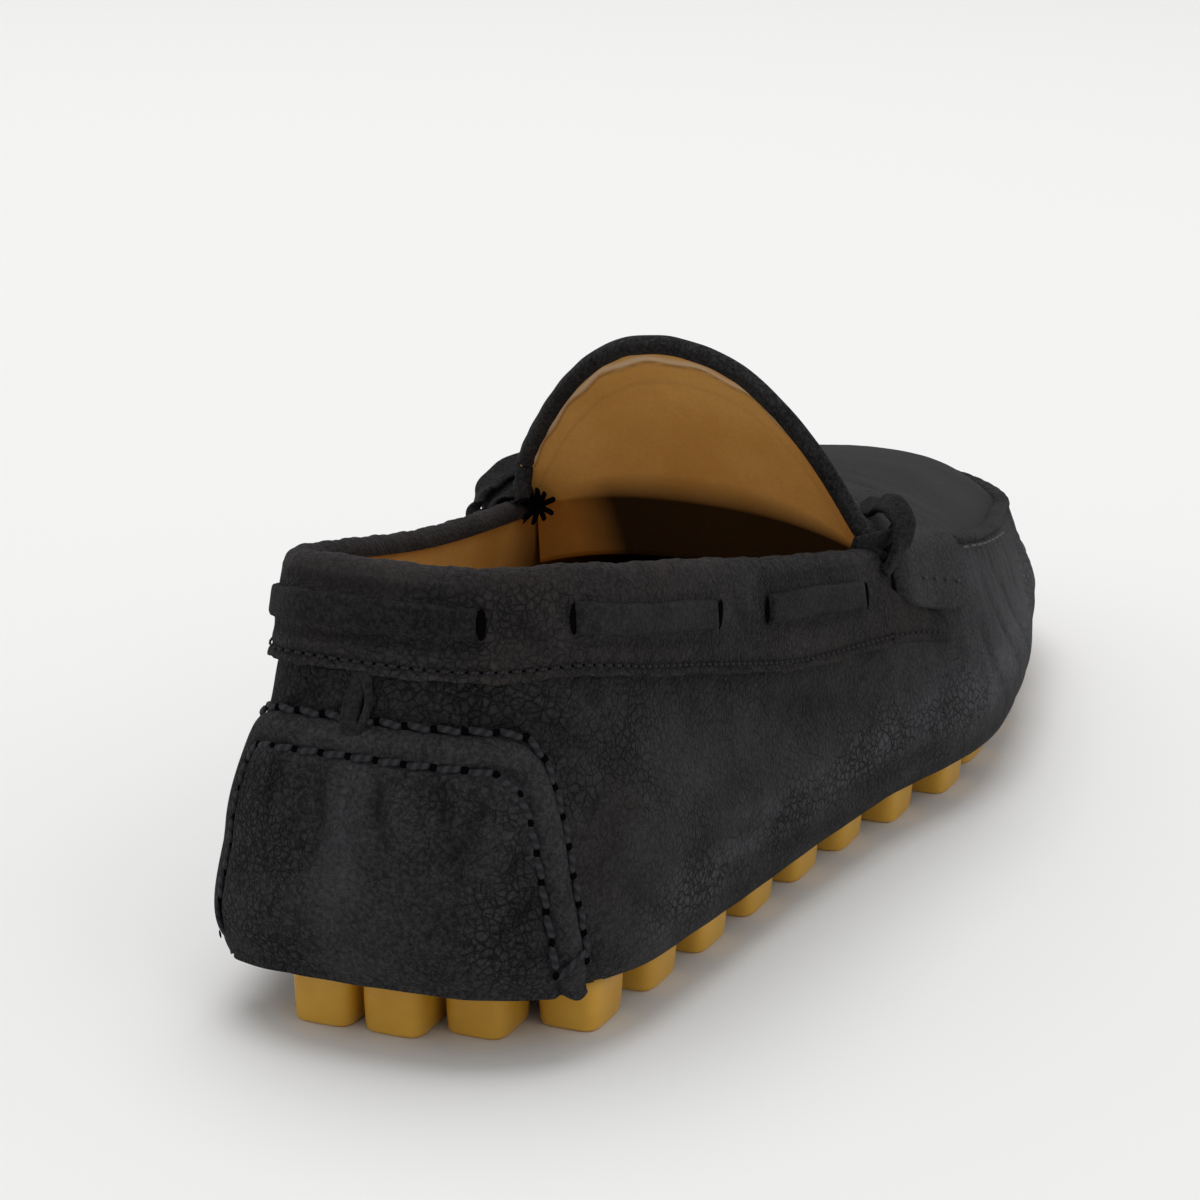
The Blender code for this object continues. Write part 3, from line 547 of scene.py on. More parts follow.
# Stitches: capsules whose middle line bows up by lift * (1 - (2t-1)^4), and whose radius is the root of 1 - |2t-1|^5
def stitchPiece(name, centre, along, normal, length, radius, lift, finish, sides=8, rows=9, flat=0.8):
    along, normal = unit(along), unit(normal)
    side = unit(np.cross(normal, along))
    normal = np.cross(along, side)
    t = np.linspace(0, 1, rows)[None, :, None, None]
    turn = np.linspace(0, 2 * np.pi, sides, endpoint=False)[None, None, :, None]
    fat = radius * np.clip(1 - np.abs(2 * t - 1) ** 5, 0, 1) ** 0.5
    length = np.broadcast_to(np.asarray(length, float), (len(centre),))[:, None, None, None]
    line = centre[:, None, None] + along[:, None, None] * (t - 0.5) * length
    line = line + normal[:, None, None] * (lift * (1 - np.abs(2 * t - 1) ** 4) - 0.35 * radius)
    points = line + fat * (side[:, None, None] * np.cos(turn) + flat * normal[:, None, None] * np.sin(turn))
    quads = manyQuads(len(centre), rows, sides)
    uv = np.stack(np.broadcast_arrays(t[..., 0], turn[..., 0] / (2 * np.pi)), -1)
    uv = np.broadcast_to(uv, (len(centre), rows, sides, 2))
    return putPiece(name, points, quads, finish, uv=uv, merge=1e-7)


# Needle holes: low black domes of painted shade, a circle of radius r sinking as a half ellipse
def holePiece(name, centre, along, normal, radius, stretch=1.4):
    along, normal = unit(along), unit(normal)
    side = unit(np.cross(normal, along))
    t = np.linspace(0, np.pi / 2, 4)[None, :, None, None]
    turn = np.linspace(0, 2 * np.pi, 10, endpoint=False)[None, None, :, None]
    flat = np.cos(t) * radius
    points = centre[:, None, None] + normal[:, None, None] * (0.35 * radius * np.sin(t) - 0.1 * radius)
    points = points + flat * (stretch * along[:, None, None] * np.cos(turn) + side[:, None, None] * np.sin(turn))
    bottom = centre[:, None, None] - normal[:, None, None] * 0.4 * radius + 0 * points[:, :1]
    points = np.concatenate([bottom, points], 1)
    return putPiece(name, points, manyQuads(len(centre), 5, 10), "hole", merge=1e-7)


# Points and normals on the side's surface at pairs of station and drop
def sidePoints(station, drop, proud=0.0):
    share = shareAt(station, np.asarray(drop, float)[None])
    at = onSide(station, share, 0.0)[0]
    normal = onSide(station, share, 1.0)[0] - at
    return at + np.asarray(proud)[..., None] * normal, normal


# Even places along a curve of (station, drop) knots, smoothed by the table's cubic; returns station, drop
def evenWay(knots, pitch, offset=0.0):
    t = np.linspace(0, 1, len(knots))
    table = np.column_stack([t, np.array(knots, float)])
    fine = np.linspace(0, 1, 500)
    station, drop = smooth(table, 1, fine), smooth(table, 2, fine)
    at = sidePoints(station, drop)[0]
    run = np.concatenate([[0], np.cumsum(np.linalg.norm(np.diff(at, axis=0), axis=1))])
    places = np.arange(offset, run[-1] - 0.3 * pitch, pitch)
    return np.interp(places, run, station), np.interp(places, run, drop)


# Middles, directions and normals for stitches between neighbouring places
def stitchSpots(station, drop, proud):
    at, normal = sidePoints(station, drop, proud)
    return (at[1:] + at[:-1]) / 2, at[1:] - at[:-1], (normal[1:] + normal[:-1]) / 2, at, normal


# Creases are valleys (or ridges) of gaussian section along straight lines in the (way round, drop) plane, in mm
def creaseRelief(rows, station, drop):
    x, y = station * sideRun * 1000, drop * 1000
    relief = np.zeros(np.broadcast_shapes(x.shape, y.shape))
    for stationA, dropA, stationB, dropB, width, deep in rows:
        ax, bx = stationA * sideRun * 1000, stationB * sideRun * 1000
        dx, dy = bx - ax, dropB - dropA
        t = np.clip(((x - ax) * dx + (y - dropA) * dy) / (dx * dx + dy * dy), 0, 1)
        away = np.hypot(x - ax - t * dx, (y - dropA) - t * dy)
        fade = 0.35 + 0.65 * np.sin(np.pi * np.clip(t, 0.06, 0.94))
        relief -= deep * fade * np.exp(-(away / width) ** 2)
    return relief / 1000


# Smooth unevenness: a few sines of unlike lengths and phases along both directions, about one unit high
def softWaves(x, y, seed=0.0):
    return (np.sin(x * 0.11 + seed) * np.sin(y * 0.17 + 1.3 * seed)
            + 0.6 * np.sin(x * 0.23 + y * 0.13 + 2.1 * seed) + 0.4 * np.sin(x * 0.41 - y * 0.29 + seed)
            + 0.25 * np.sin(x * 0.71 + 0.9 * y + seed)) / 2.25


view = dict(place=(0.22087, -0.58302, 0.21588), yaw=0.39411, pitch=0.28026, roll=0.01315, lens=101.886)
eye = bpy.data.objects.new("camera", bpy.data.cameras.new("camera"))
bpy.context.scene.collection.objects.link(eye)
eye.data.lens, eye.data.sensor_width = view["lens"], 36
eye.data.clip_start, eye.data.clip_end = 0.01, 20
turn = Matrix.Rotation(view["yaw"], 4, "Z") @ Matrix.Rotation(np.pi / 2 - view["pitch"], 4, "X")
turn = turn @ Matrix.Rotation(view["roll"], 4, "Z")
eye.matrix_world = Matrix.Translation([p + s for p, s in zip(view["place"], shift)]) @ turn
bpy.context.scene.camera = eye

studio = dict(sky=0.58, topPower=62.0, sidePower=4.0, floor=0.84)
world = bpy.data.worlds.new("studio")
world.use_nodes = True
world.node_tree.nodes["Background"].inputs[0].default_value = (1.0, 0.995, 0.985, 1)
world.node_tree.nodes["Background"].inputs[1].default_value = studio["sky"]
bpy.context.scene.world = world
bpy.context.scene.view_settings.view_transform = "Standard"


# A round lamp that looks at the shoe's middle
def softLight(name, place, power, size, colour=(1, 1, 1)):
    light = bpy.data.lights.new(name, "AREA")
    light.shape, light.size, light.energy, light.color = "DISK", size, power, colour
    lamp = bpy.data.objects.new(name, light)
    bpy.context.scene.collection.objects.link(lamp)
    lamp.location = place
    lamp.rotation_mode = "QUATERNION"
    lamp.rotation_quaternion = (Vector(place) - Vector((0, 0, 0.03))).to_track_quat("Z", "Y")


softLight("topLight", (-0.5, 0.6, 3.2), studio["topPower"], 3.0)
softLight("sideLight", (1.9, -1.2, 1.7), studio["sidePower"], 1.5)

floorGraph = Graph("paleFloor")
floorGraph.finish((studio["floor"],) * 3 + (1.0,), 0.75, None, Specular_IOR_Level=0.2)
floorMesh = bpy.data.meshes.new("floor")
floorMesh.from_pydata([(-6, -6, 0), (6, -6, 0), (6, 6, 0), (-6, 6, 0)], [], [(0, 1, 2, 3)])
floorMesh.materials.append(floorGraph.material)
floor = bpy.data.objects.new("floor", floorMesh)
bpy.context.scene.collection.objects.link(floor)
print("studio set")


# station and drop (mm) at both ends, half width (mm), depth (mm; negative is a ridge)
bodyCreases = (
    (0.020, 20, 0.060, 26, 1.3, 0.35), (0.050, 19, 0.100, 27, 1.4, 0.40), (0.085, 20, 0.140, 30, 1.5, 0.35),
    (-0.030, 20, -0.070, 26, 1.3, 0.35), (-0.060, 19, -0.110, 28, 1.4, 0.35),
    (0.125, 22, 0.175, 36, 1.8, 0.16), (0.115, 34, 0.150, 52, 2.0, 0.12), (0.120, 46, 0.190, 60, 1.8, 0.20),
    (0.190, 46, 0.330, 44, 1.8, 0.30), (0.230, 51, 0.390, 47, 1.6, 0.35), (0.200, 40, 0.300, 36, 2.2, 0.22),
    (0.360, 44, 0.520, 36, 1.8, 0.32), (0.400, 48, 0.560, 38, 1.5, 0.28), (0.480, 42, 0.640, 30, 1.8, 0.30),
    (0.300, 24, 0.420, 26, 3.0, 0.30), (0.560, 12, 0.590, 34, 2.0, 0.35), (0.600, 8, 0.640, 32, 1.8, 0.40),
    (0.640, 6, 0.690, 28, 1.6, 0.35), (-0.560, 12, -0.590, 34, 2.0, 0.35), (-0.610, 8, -0.650, 32, 1.8, 0.40),
    (-0.190, 46, -0.330, 42, 1.8, 0.30), (-0.300, 50, -0.460, 42, 2.0, 0.30), (-0.200, 28, -0.380, 24, 3.0, 0.25),
    (-0.420, 38, -0.580, 30, 2.0, 0.30))


# Creases, soft waves, and puckers that fade with the drop from the toe seam
def bodyRelief(station, drop):
    x, y = station * sideRun * 1000, drop * 1000
    relief = creaseRelief(bodyCreases, station, drop) + 0.00030 * softWaves(x, y, 0.7)
    front = np.clip((np.abs(station) - 0.56) / 0.05, 0, 1)
    return relief + 0.00030 * np.exp(-drop / 0.0065) * front * np.sin(np.abs(x) * 2 * np.pi / 5.2)


# station and height (mm) of the lighter wrinkled strip that climbs along the sole
wrinkleWay = ((0.10, 16.5), (0.20, 19.5), (0.30, 21.0), (0.45, 21.5), (0.56, 22.0), (0.64, 23.0))


# The outer wall by station and share with its relief, and the lining 1 mm inside it
def makeUpper():
    stations = np.linspace(-1, 1, 521)[:-1]
    shares = np.concatenate([np.linspace(0, 0.14, 16)[:-1], np.linspace(0.14, 1, 66)])
    bare = onSide(stations, shares)
    drop = bare[-1:, :, 2] - bare[..., 2]
    relief = bodyRelief(stations[None], drop) * np.clip(shares / 0.22, 0, 1)[:, None]
    way = smooth(wrinkleWay, 1, np.abs(stations)) / 1000
    strip = np.exp(-((bare[..., 2] - way) / 0.0048) ** 2) * np.clip((np.abs(stations) - 0.12) / 0.06, 0, 1)
    x, y = stations[None] * sideRun * 1000, drop * 1000
    along = x * 0.93 - y * 0.35                                    # measured along the strip, then across it
    relief += strip * 0.00016 * np.sin(2 * np.pi * (y + 0.35 * x + 1.5 * np.sin(along * 0.35)) / 3.4)
    tone = 0.46 * strip * np.clip(0.70 + 0.4 * softWaves(x * 2, y * 3, 2.0), 0, 1)
    tone += 0.10 * np.clip(softWaves(x * 1.6, y * 1.9, 5.0), 0, 1)
    # painted sheen: the front is greyed to stand in for the nap's sheen there
    front = np.clip((np.abs(stations) - 0.42) / 0.14, 0, 1)
    tone += front * (0.19 + 0.04 * np.sin(x * 0.9 + 0.12 * y))
    crease = creaseRelief(bodyCreases, stations[None], drop)
    # painted shade in the creases
    shade = np.clip(-crease / 0.0010, 0, 0.3)
    grain = np.clip(1.1 - np.abs(stations) / 0.32, 0, 1) * np.clip(1.35 - drop / 0.045, 0.25, 1) + 0.9 * strip
    values = dict(tone=np.clip(tone, 0, 1), shade=shade, grain=np.clip(grain, 0, 1) * (1 - 0.7 * front))
    outside, inside = onSide(stations, shares, relief), onSide(stations, shares, -0.0009)
    shellPiece("upperLeather", outside, inside, "body", "upper", around=True, values=values)
    stations = np.linspace(-1, 1, 281)[:-1]
    linShares = np.linspace(0.04, 1, 40)
    # painted shade: the lining darkens low down and towards the toe, where the shoe's inside is dark
    deep = 0.4 * np.clip((1 - linShares[:, None]) / 0.5, 0, 1)
    deep = deep + 0.55 * np.clip((np.abs(stations) - 0.43) / 0.06, 0, 1)
    outside, inside = onSide(stations, linShares, -0.00095), onSide(stations, linShares, -0.0016)
    shellPiece("quarterLining", outside, inside, "lining", around=True, values=dict(shade=np.clip(deep, 0, 0.93)))


makeUpper()
print("upper made")


pegs = dict(width=0.0104, length=0.0128, pitch=0.0200, spacing=0.0132, margin=-0.0010, endMargin=0.0052,
            heelBow=0.0048, heelSkew=0.0072, toeBow=0.0100, round=4.8, edge=0.0008, heelSlip=0.0070,
            heelBack=0.0018)


# How far the sheet's edge stands inside the outline
def soleEdge(station):
    return underTurn(station) + 0.5 * shoe["wall"] + 0.0006


# Rows bow and skew; in each row the end pegs stand at the sole's edge and the others are spread evenly between
def pegPlaces():
    reach = pegs["endMargin"] + pegs["length"] / 2
    heel = -shoe["length"] / 2 + float(soleEdge(np.array([0.0]))[0]) + reach
    toe = shoe["length"] / 2 - float(soleEdge(np.array([1.0]))[0]) - reach
    rows = round((toe - heel) / pegs["pitch"])
    sides = {}
    for side in (1, -1):
        stations = side * np.linspace(0.0, 1.0, 400)
        spot, out = outlineAt(stations)
        sides[side] = spot - (soleEdge(stations) + pegs["margin"] + pegs["width"] / 2)[:, None] * out
    places = []
    for row in range(rows + 1):
        share = row / rows
        fade = max(0, 1 - 2 * share)
        bow = pegs["heelBow"] * fade - pegs["toeBow"] * max(0, 2 * share - 1) ** 1.3
        middle = heel + share * (toe - heel)
        ends = {}
        for side, line in sides.items():
            wanted = middle + bow + side * pegs["heelSkew"] * fade
            near = np.argmin(np.abs(line[:, 1] - wanted) + 10 * np.maximum(0, -side * line[:, 0]))
            ends[side] = line[near, 0]
        first = max(0, 1 - 3 * share)
        ends[-1] += pegs["heelSlip"] * max(0, 1 - 8 * share)
        middle -= pegs["heelBack"] * first
        count = max(2, round((ends[1] - ends[-1]) / pegs["spacing"]) + 1)
        across = np.linspace(-1, 1, count)
        x = ends[-1] + (across + 1) / 2 * (ends[1] - ends[-1])
        y = middle + bow * across ** 2 + pegs["heelSkew"] * fade * across
        places.append(np.stack([x, y, across], 1))
    return np.concatenate(places)


# Superellipse rings |x/a|^n + |y/b|^n = 1: flat end, quarter-round edge, then a slight draft up to the sheet
def makePegs():
    places = pegPlaces()
    ringX, ringY = ringAt(32, 2 / pegs["round"], 2 / pegs["round"])
    bend = np.linspace(0, np.pi / 2, 5)
    inset = np.concatenate([[1e9, 0.0035, 0.0022], pegs["edge"] * (1 - np.sin(bend)),
                            [-0.2e-3, -0.35e-3, -0.5e-3]])
    rise = np.concatenate([[0, 0, 0.00002], pegs["edge"] * (1 - np.cos(bend)) + 0.00004, [0.35, 0.7, 1.0]])
    halfX = np.maximum(pegs["width"] / 2 - inset, 0)[None, :, None]
    halfY = np.maximum(pegs["length"] / 2 - inset, 0)[None, :, None]
    x = places[:, 0, None, None] + halfX * ringX
    y = places[:, 1, None, None] + halfY * ringY
    along = np.clip(y / shoe["length"] + 0.5, 0, 1)
    inner = ((1 - places[:, 2]) / 2)[:, None, None]
    low = shoe["pegHeight"] * (smooth(section, 2, along) + inner * smooth(innerSide, 1, along))
    top = low + shoe["pegHeight"] * smooth(section, 1, along) + 0.0012
    wall = (np.arange(len(rise)) >= 8)[None, :, None]             # the rings above the round edge
    rise = rise[None, :, None]
    z = low + np.where(wall, rise * (top - low), rise)
    grid = np.stack(np.broadcast_arrays(x, y, z), -1)
    cap = grid[:, -1:].mean(2, keepdims=True).repeat(32, 2)
    grid = np.concatenate([grid, cap], 1)
    putPiece("gumPegs", grid, manyQuads(len(places), grid.shape[1], 32), "gum", "outsole")


# Level sheet between both sides' edges, closed to a line at heel and toe
def levelSheet(name, inset, bottom, thick, finish, columns=120, rows=17):
    stations = np.linspace(0, 1, columns)
    edge = []
    for side in (1, -1):
        spot, out = outlineAt(side * stations)
        flat = spot - inset(side * stations)[:, None] * out
        edge.append(np.concatenate([flat, bottom(side * stations)[:, None]], 1))
    t = np.linspace(0, 1, rows)[None, :, None]
    grid = edge[0][:, None] * (1 - t) + edge[1][:, None] * t
    grid[0], grid[-1] = edge[0][0], edge[0][-1]
    return shellPiece(name, grid, grid + np.array([0, 0, thick]), finish)


makePegs()
levelSheet("underLeather", lambda s: 0.72 * underTurn(s), lambda s: soleLevel(s) + 0.0001, 0.0009, "body")
levelSheet("soleFill", soleEdge, lambda s: soleLevel(s) + 0.0011, 0.0014, "gum")
levelSheet("insoleLeather", lambda s: 0.5 * underTurn(s) + 0.0019, lambda s: soleLevel(s) + 0.0033, 0.0018, "lining")
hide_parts("insole")
print("sole made")


apron = dict(back=0.462, thick=0.0014, seamStart=0.546, seamWide=0.0018, seamHigh=0.0012, pucker=0.0052)


# station, bow, half width (mm), depth (mm)
apronFolds = ((0.575, 0.010, 2.6, 0.55), (0.600, 0.014, 2.2, 0.45), (0.632, 0.012, 2.6, 0.40),
              (0.665, 0.016, 3.2, 0.30))


# Soft waves, and folds of gaussian section that bow across behind the toes
def apronRelief(station, across):
    x, y = across * 30, station * sideRun * 1000
    waves = 0.00018 * softWaves(x * 0.9, y * 0.9, 3.1)
    fold = np.zeros(np.broadcast_shapes(x.shape, y.shape))
    for at, bow, width, deep in apronFolds:
        line = (at + bow * across ** 2) * sideRun * 1000
        fade = 0.55 + 0.45 * np.cos(across * 2.2 + at * 60)
        fold -= 0.4 * deep / 1000 * np.exp(-((y - line) / width) ** 2) * fade
    return waves + fold


# The apron's sheet, 1.4 mm thick, with a lining under it that painted shade makes dark
def makeApron():
    stations = np.concatenate([np.linspace(apron["back"], 0.93, 120), np.linspace(0.93, 1.0, 34)[1:]])
    across = np.sin(np.linspace(-np.pi / 2, np.pi / 2, 71))
    top = apronAt(stations, across, 0.0002)
    edgeFade = 1 - np.abs(across)[None] ** 6
    top[..., 2] += apronRelief(stations[:, None], across[None]) * edgeFade
    shellPiece("apronLeather", top, top - np.array([0, 0, apron["thick"]]), "apron", "apron")
    under = apronAt(np.linspace(apron["back"] + 0.002, 0.97, 60), np.linspace(-0.97, 0.97, 31), -0.0016)
    # painted shade: the whole lining under the apron is blackened
    shellPiece("vampLining", under, under - np.array([0, 0, 0.0005]), "lining",
               values=dict(shade=0.9 + 0 * under[..., 0]))


# The bead's middle line on one side, and the way outwards
def seamLine(station, turned):
    edge = topEdge(turned * station, 0.0013, 0.0005)
    out = np.concatenate([outlineAt(turned * station)[1], np.zeros((len(station), 1))], 1)
    return edge, out


# A bead along both edges: a superellipse section, its height puckered by |sin| at the stitch pitch
def makeSeam():
    half = np.linspace(apron["seamStart"], 1.0, 420)
    edge, out = (np.concatenate(both) for both in zip(seamLine(half, 1), seamLine(half[-2::-1], -1)))
    run = np.concatenate([[0], np.cumsum(np.linalg.norm(np.diff(edge, axis=0), axis=1))])
    wave = np.abs(np.sin(np.pi * run / apron["pucker"]))
    ends = np.clip(np.minimum(run, run[-1] - run) / 0.006, 0.15, 1) ** 0.5
    ringX, ringZ = ringAt(28, 0.8, 0.8)
    wide = apron["seamWide"] * (0.97 + 0.05 * wave) * ends
    high = apron["seamHigh"] * (0.88 + 0.14 * wave) * ends
    up = np.array([0, 0, 1.0])
    contour = (edge[:, None] + out[:, None] * (wide[:, None] * ringX)[..., None]
               + up * (high[:, None] * np.where(ringZ > 0, ringZ, 0.7 * ringZ))[..., None])
    tubePiece("toeSeamBead", contour, "body", "vamp_seam")
    places = np.arange(0.004, run[-1] - 0.003, apron["pucker"])
    at = np.stack([np.interp(places, run, edge[:, k]) for k in range(3)], 1)
    sideways = unit(np.stack([np.interp(places, run, out[:, k]) for k in range(3)], 1))
    ahead = unit(np.cross(up[None], sideways))
    crest = at + up * apron["seamHigh"] * 0.62
    slant = unit(sideways + 0.35 * ahead)
    stitchPiece("toeSeamStitches", crest, slant, np.repeat(up[None], len(at), 0), 0.0030, 0.00022, 0.0003,
                "thread")
    for name, reach, drop in (("toeSeamInner", -0.0030, 0.0006), ("toeSeamOuter", 0.0026, -0.0012)):
        spots = at + sideways * reach + up * drop
        near = np.minimum(places, run[-1] - places)[1:] < 0.055
        middle, way = ((spots[1:] + spots[:-1]) / 2)[near], np.diff(spots, axis=0)[near]
        lift = unit(up + (0.5 if reach > 0 else 0.0) * sideways[1:][near])           # the outer row leans out
        stitchPiece(name, middle, way, lift, 0.0032, 0.00026, 0.0003, "greyThread" if reach > 0 else "thread")


makeApron()
makeSeam()

strap = dict(back=0.468, front=0.550, thick=0.0019, proud=0.0007)
# station, drop of the lower edge on the side
strapFoot = ((0.466, 0.0110), (0.474, 0.0125), (0.484, 0.0137), (0.505, 0.0140), (0.528, 0.0134),
             (0.541, 0.0118), (0.551, 0.0090))


# Up one side by drop, over the edge in a quarter round, across the apron's arch, and down again
def strapPath(station, proud):
    spot = np.array([station])
    foot = float(smooth(strapFoot, 1, station))
    sides = []
    for side in (1, -1):
        dip = float(dipAt(side * spot)[0])
        drops = dip + np.linspace(1, 0.08, 26)[:, None] * (foot - dip)
        wall = onSide(side * spot, shareAt(side * spot, drops), proud + 0.0003)[:, 0]
        turnIn = np.linspace(0.12, 1, 8)
        roll = np.concatenate([topEdge(side * spot, -0.0003 - proud * np.cos(a * np.pi / 2) + 0.0012 * a,
                                       (0.0006 + proud) * np.sin(a * np.pi / 2)) for a in turnIn])
        sides.append(np.concatenate([wall, roll]))
    arch = apronAt(spot, np.linspace(0.96, -0.96, 90), 0.0007 + proud)[0]
    return np.concatenate([sides[0], arch, sides[1][::-1]])


# Paths side by side; the thickness rounds off over the outer tenths of the width
def makeStrap():
    rows = np.linspace(0, 1, 40)
    stations = strap["back"] + (strap["front"] - strap["back"]) * rows
    thick = strap["thick"] * np.clip(np.minimum(rows, 1 - rows) / 0.10, 0, 1) ** 0.45
    outside = np.stack([strapPath(s, strap["proud"] + t) for s, t in zip(stations, thick)])
    inside = np.stack([strapPath(s, strap["proud"] * 0.2) for s in stations])
    shellPiece("instepStrap", outside, inside, "body", "instep_strap", values=dict(tone=0 * outside[..., 0] + 0.12))


# Flat ribbon along a way given by (station, out, up) from the top edge; its width lies along `wide`
def ribbon(name, way, wide, thick, lay, finish, side=1, rows=60):
    table = np.column_stack([np.linspace(0, 1, len(way)), np.array(way, float)])
    t = np.linspace(0, 1, rows)
    station = smooth(table, 1, t)
    line = topEdge(side * station)
    line[:, :2] += outlineAt(side * station)[1] * smooth(table, 2, t)[:, None] * 0.001
    line[:, 2] += smooth(table, 3, t) * 0.001
    ahead = unit(np.gradient(line, axis=0))
    across = np.array(lay, float) * np.array([side, 1, 1])
    across = unit(across - (ahead @ across)[:, None] * ahead)
    normal = np.cross(ahead, across)
    ringX, ringZ = ringAt(20, 0.5, 0.7)
    contour = (line[:, None] + across[:, None] * (wide / 2 * ringX)[None, :, None]
               + normal[:, None] * (thick / 2 * ringZ)[None, :, None])
    return tubePiece(name, contour, finish)


# station, outwards (mm), upwards (mm) from the top edge
loopWays = dict(
    Outer=((0.500, -11.0, 6.6), (0.486, -5.7, 7.2), (0.480, -3.4, 8.3), (0.475, -0.6, 8.6), (0.470, 2.1, 7.4),
           (0.466, 3.9, 5.2), (0.461, 4.3, 2.3), (0.456, 3.4, -1.3), (0.452, 2.6, -3.6)),
    Inner=((0.500, -6.0, 6.6), (0.485, 2.0, 6.4), (0.475, 3.9, 5.8), (0.466, 5.2, 5.0), (0.457, 6.4, 3.5),
           (0.448, 7.1, 1.7), (0.440, 7.4, -1.1), (0.432, 6.4, -3.6), (0.425, 4.2, -6.0)))
laceIn = ((0.436, -1.5, 1.2), (0.450, 0.4, 2.2), (0.461, 1.2, 2.6), (0.470, 0.9, 3.2), (0.481, -1.2, 4.0))


# The strap's folded loops, the lace ends in them, and two folds that fill the inner loop
def makeLoops():
    for side, word in ((1, "Outer"), (-1, "Inner")):
        ribbon("strapLoop" + word, loopWays[word], 0.0050, 0.0015, (0.25, 1.0, 0.45), "lace", side, 80)
        ribbon("loopLace" + word, laceIn, 0.0042, 0.0012, (0.5, 0.2, 1.0), "lace", side)
    for word, away, wide, thick in (("Low", 1.8, 0.0075, 0.0012), ("Fold", 4.0, 0.0095, 0.0024)):
        kept = loopWays["Inner"][:-2 if away > 2 else None]
        inside = [(station, out - away, up - away) for station, out, up in kept]
        ribbon("strapLoopInner" + word, inside, wide, thick, (0.25, 1.0, 0.45), "lace", -1, 80)


# Pale stitches across the strap's outer foot, and the slit that the leather shows under it, as a black stitch of
# painted shade
def makeStrapStitches():
    station = np.array([0.489, 0.5015, 0.514, 0.5265])
    at, normal = sidePoints(station, np.full(4, 0.0086), 0.0027)
    ahead = sidePoints(station + 0.003, np.full(4, 0.0086))[0] - at
    stitchPiece("strapStitches", at, ahead, normal, 0.0028, 0.00032, 0.0003, "greyThread")
    at, normal = sidePoints(np.array([0.502]), np.array([0.0160]), 0.0002)
    ahead = sidePoints(np.array([0.505]), np.array([0.0175]))[0] - at
    stitchPiece("strapSlit", at, ahead, normal, 0.0042, 0.00034, 0.0001, "hole")


makeStrap()
makeStrapStitches()
makeLoops()
print("apron and strap made")


band = dict(end=0.452, innerEnd=0.447, depth=0.0190, thick=0.0013, insideDrop=0.0021, rollIn=0.0013)
# share of the way round, band depth as a share, drop of the lace's middle (m)
collar = ((0.00, 0.860, 0.0071), (0.11, 0.850, 0.0072), (0.19, 0.920, 0.0080), (0.28, 0.985, 0.0082),
          (0.36, 1.060, 0.0086), (0.45, 1.050, 0.0101), (1.00, 1.050, 0.0101))
bandCreases = (
    (-0.100, 11.6, 0.062, 10.6, 1.0, 0.30), (0.118, 11.2, 0.250, 12.6, 0.9, 0.22),
    (0.303, 11.4, 0.422, 13.4, 0.9, 0.20), (-0.100, 2.8, 0.060, 3.2, 1.6, 0.25),
    (0.080, 6, 0.105, 12, 1.8, 0.25), (0.268, 6, 0.288, 13, 1.8, 0.25),
    (0.300, 3.5, 0.430, 4.5, 1.8, 0.20), (-0.130, 5, -0.150, 12, 1.8, 0.25), (-0.300, 5, -0.310, 12, 1.8, 0.25))
laces = dict(wide=0.0051, thick=0.0010, sink=0.0010)
laceRuns = dict(lace_heel=(-0.100, 0.0625), lace_outer_back=(0.118, 0.252), lace_outer_front=(0.301, 0.424),
                lace_inner_back=(-0.285, -0.150), lace_inner_front=(-0.435, -0.325))


# Depth times the table's share
def bandDepth(station):
    return band["depth"] * smooth(collar, 1, np.abs(station))


# Drop of the lace's middle by the table
def laceDrop(station):
    return smooth(collar, 2, np.abs(station))


# Small wander of the raw edge and of the rim
def bandWander(station, size):
    x = station * sideRun * 1000
    return size * (np.sin(x * 0.31) + 0.6 * np.sin(x * 0.83 + 1.0) + 0.3 * np.sin(x * 1.9 + 2.0)) / 1.9


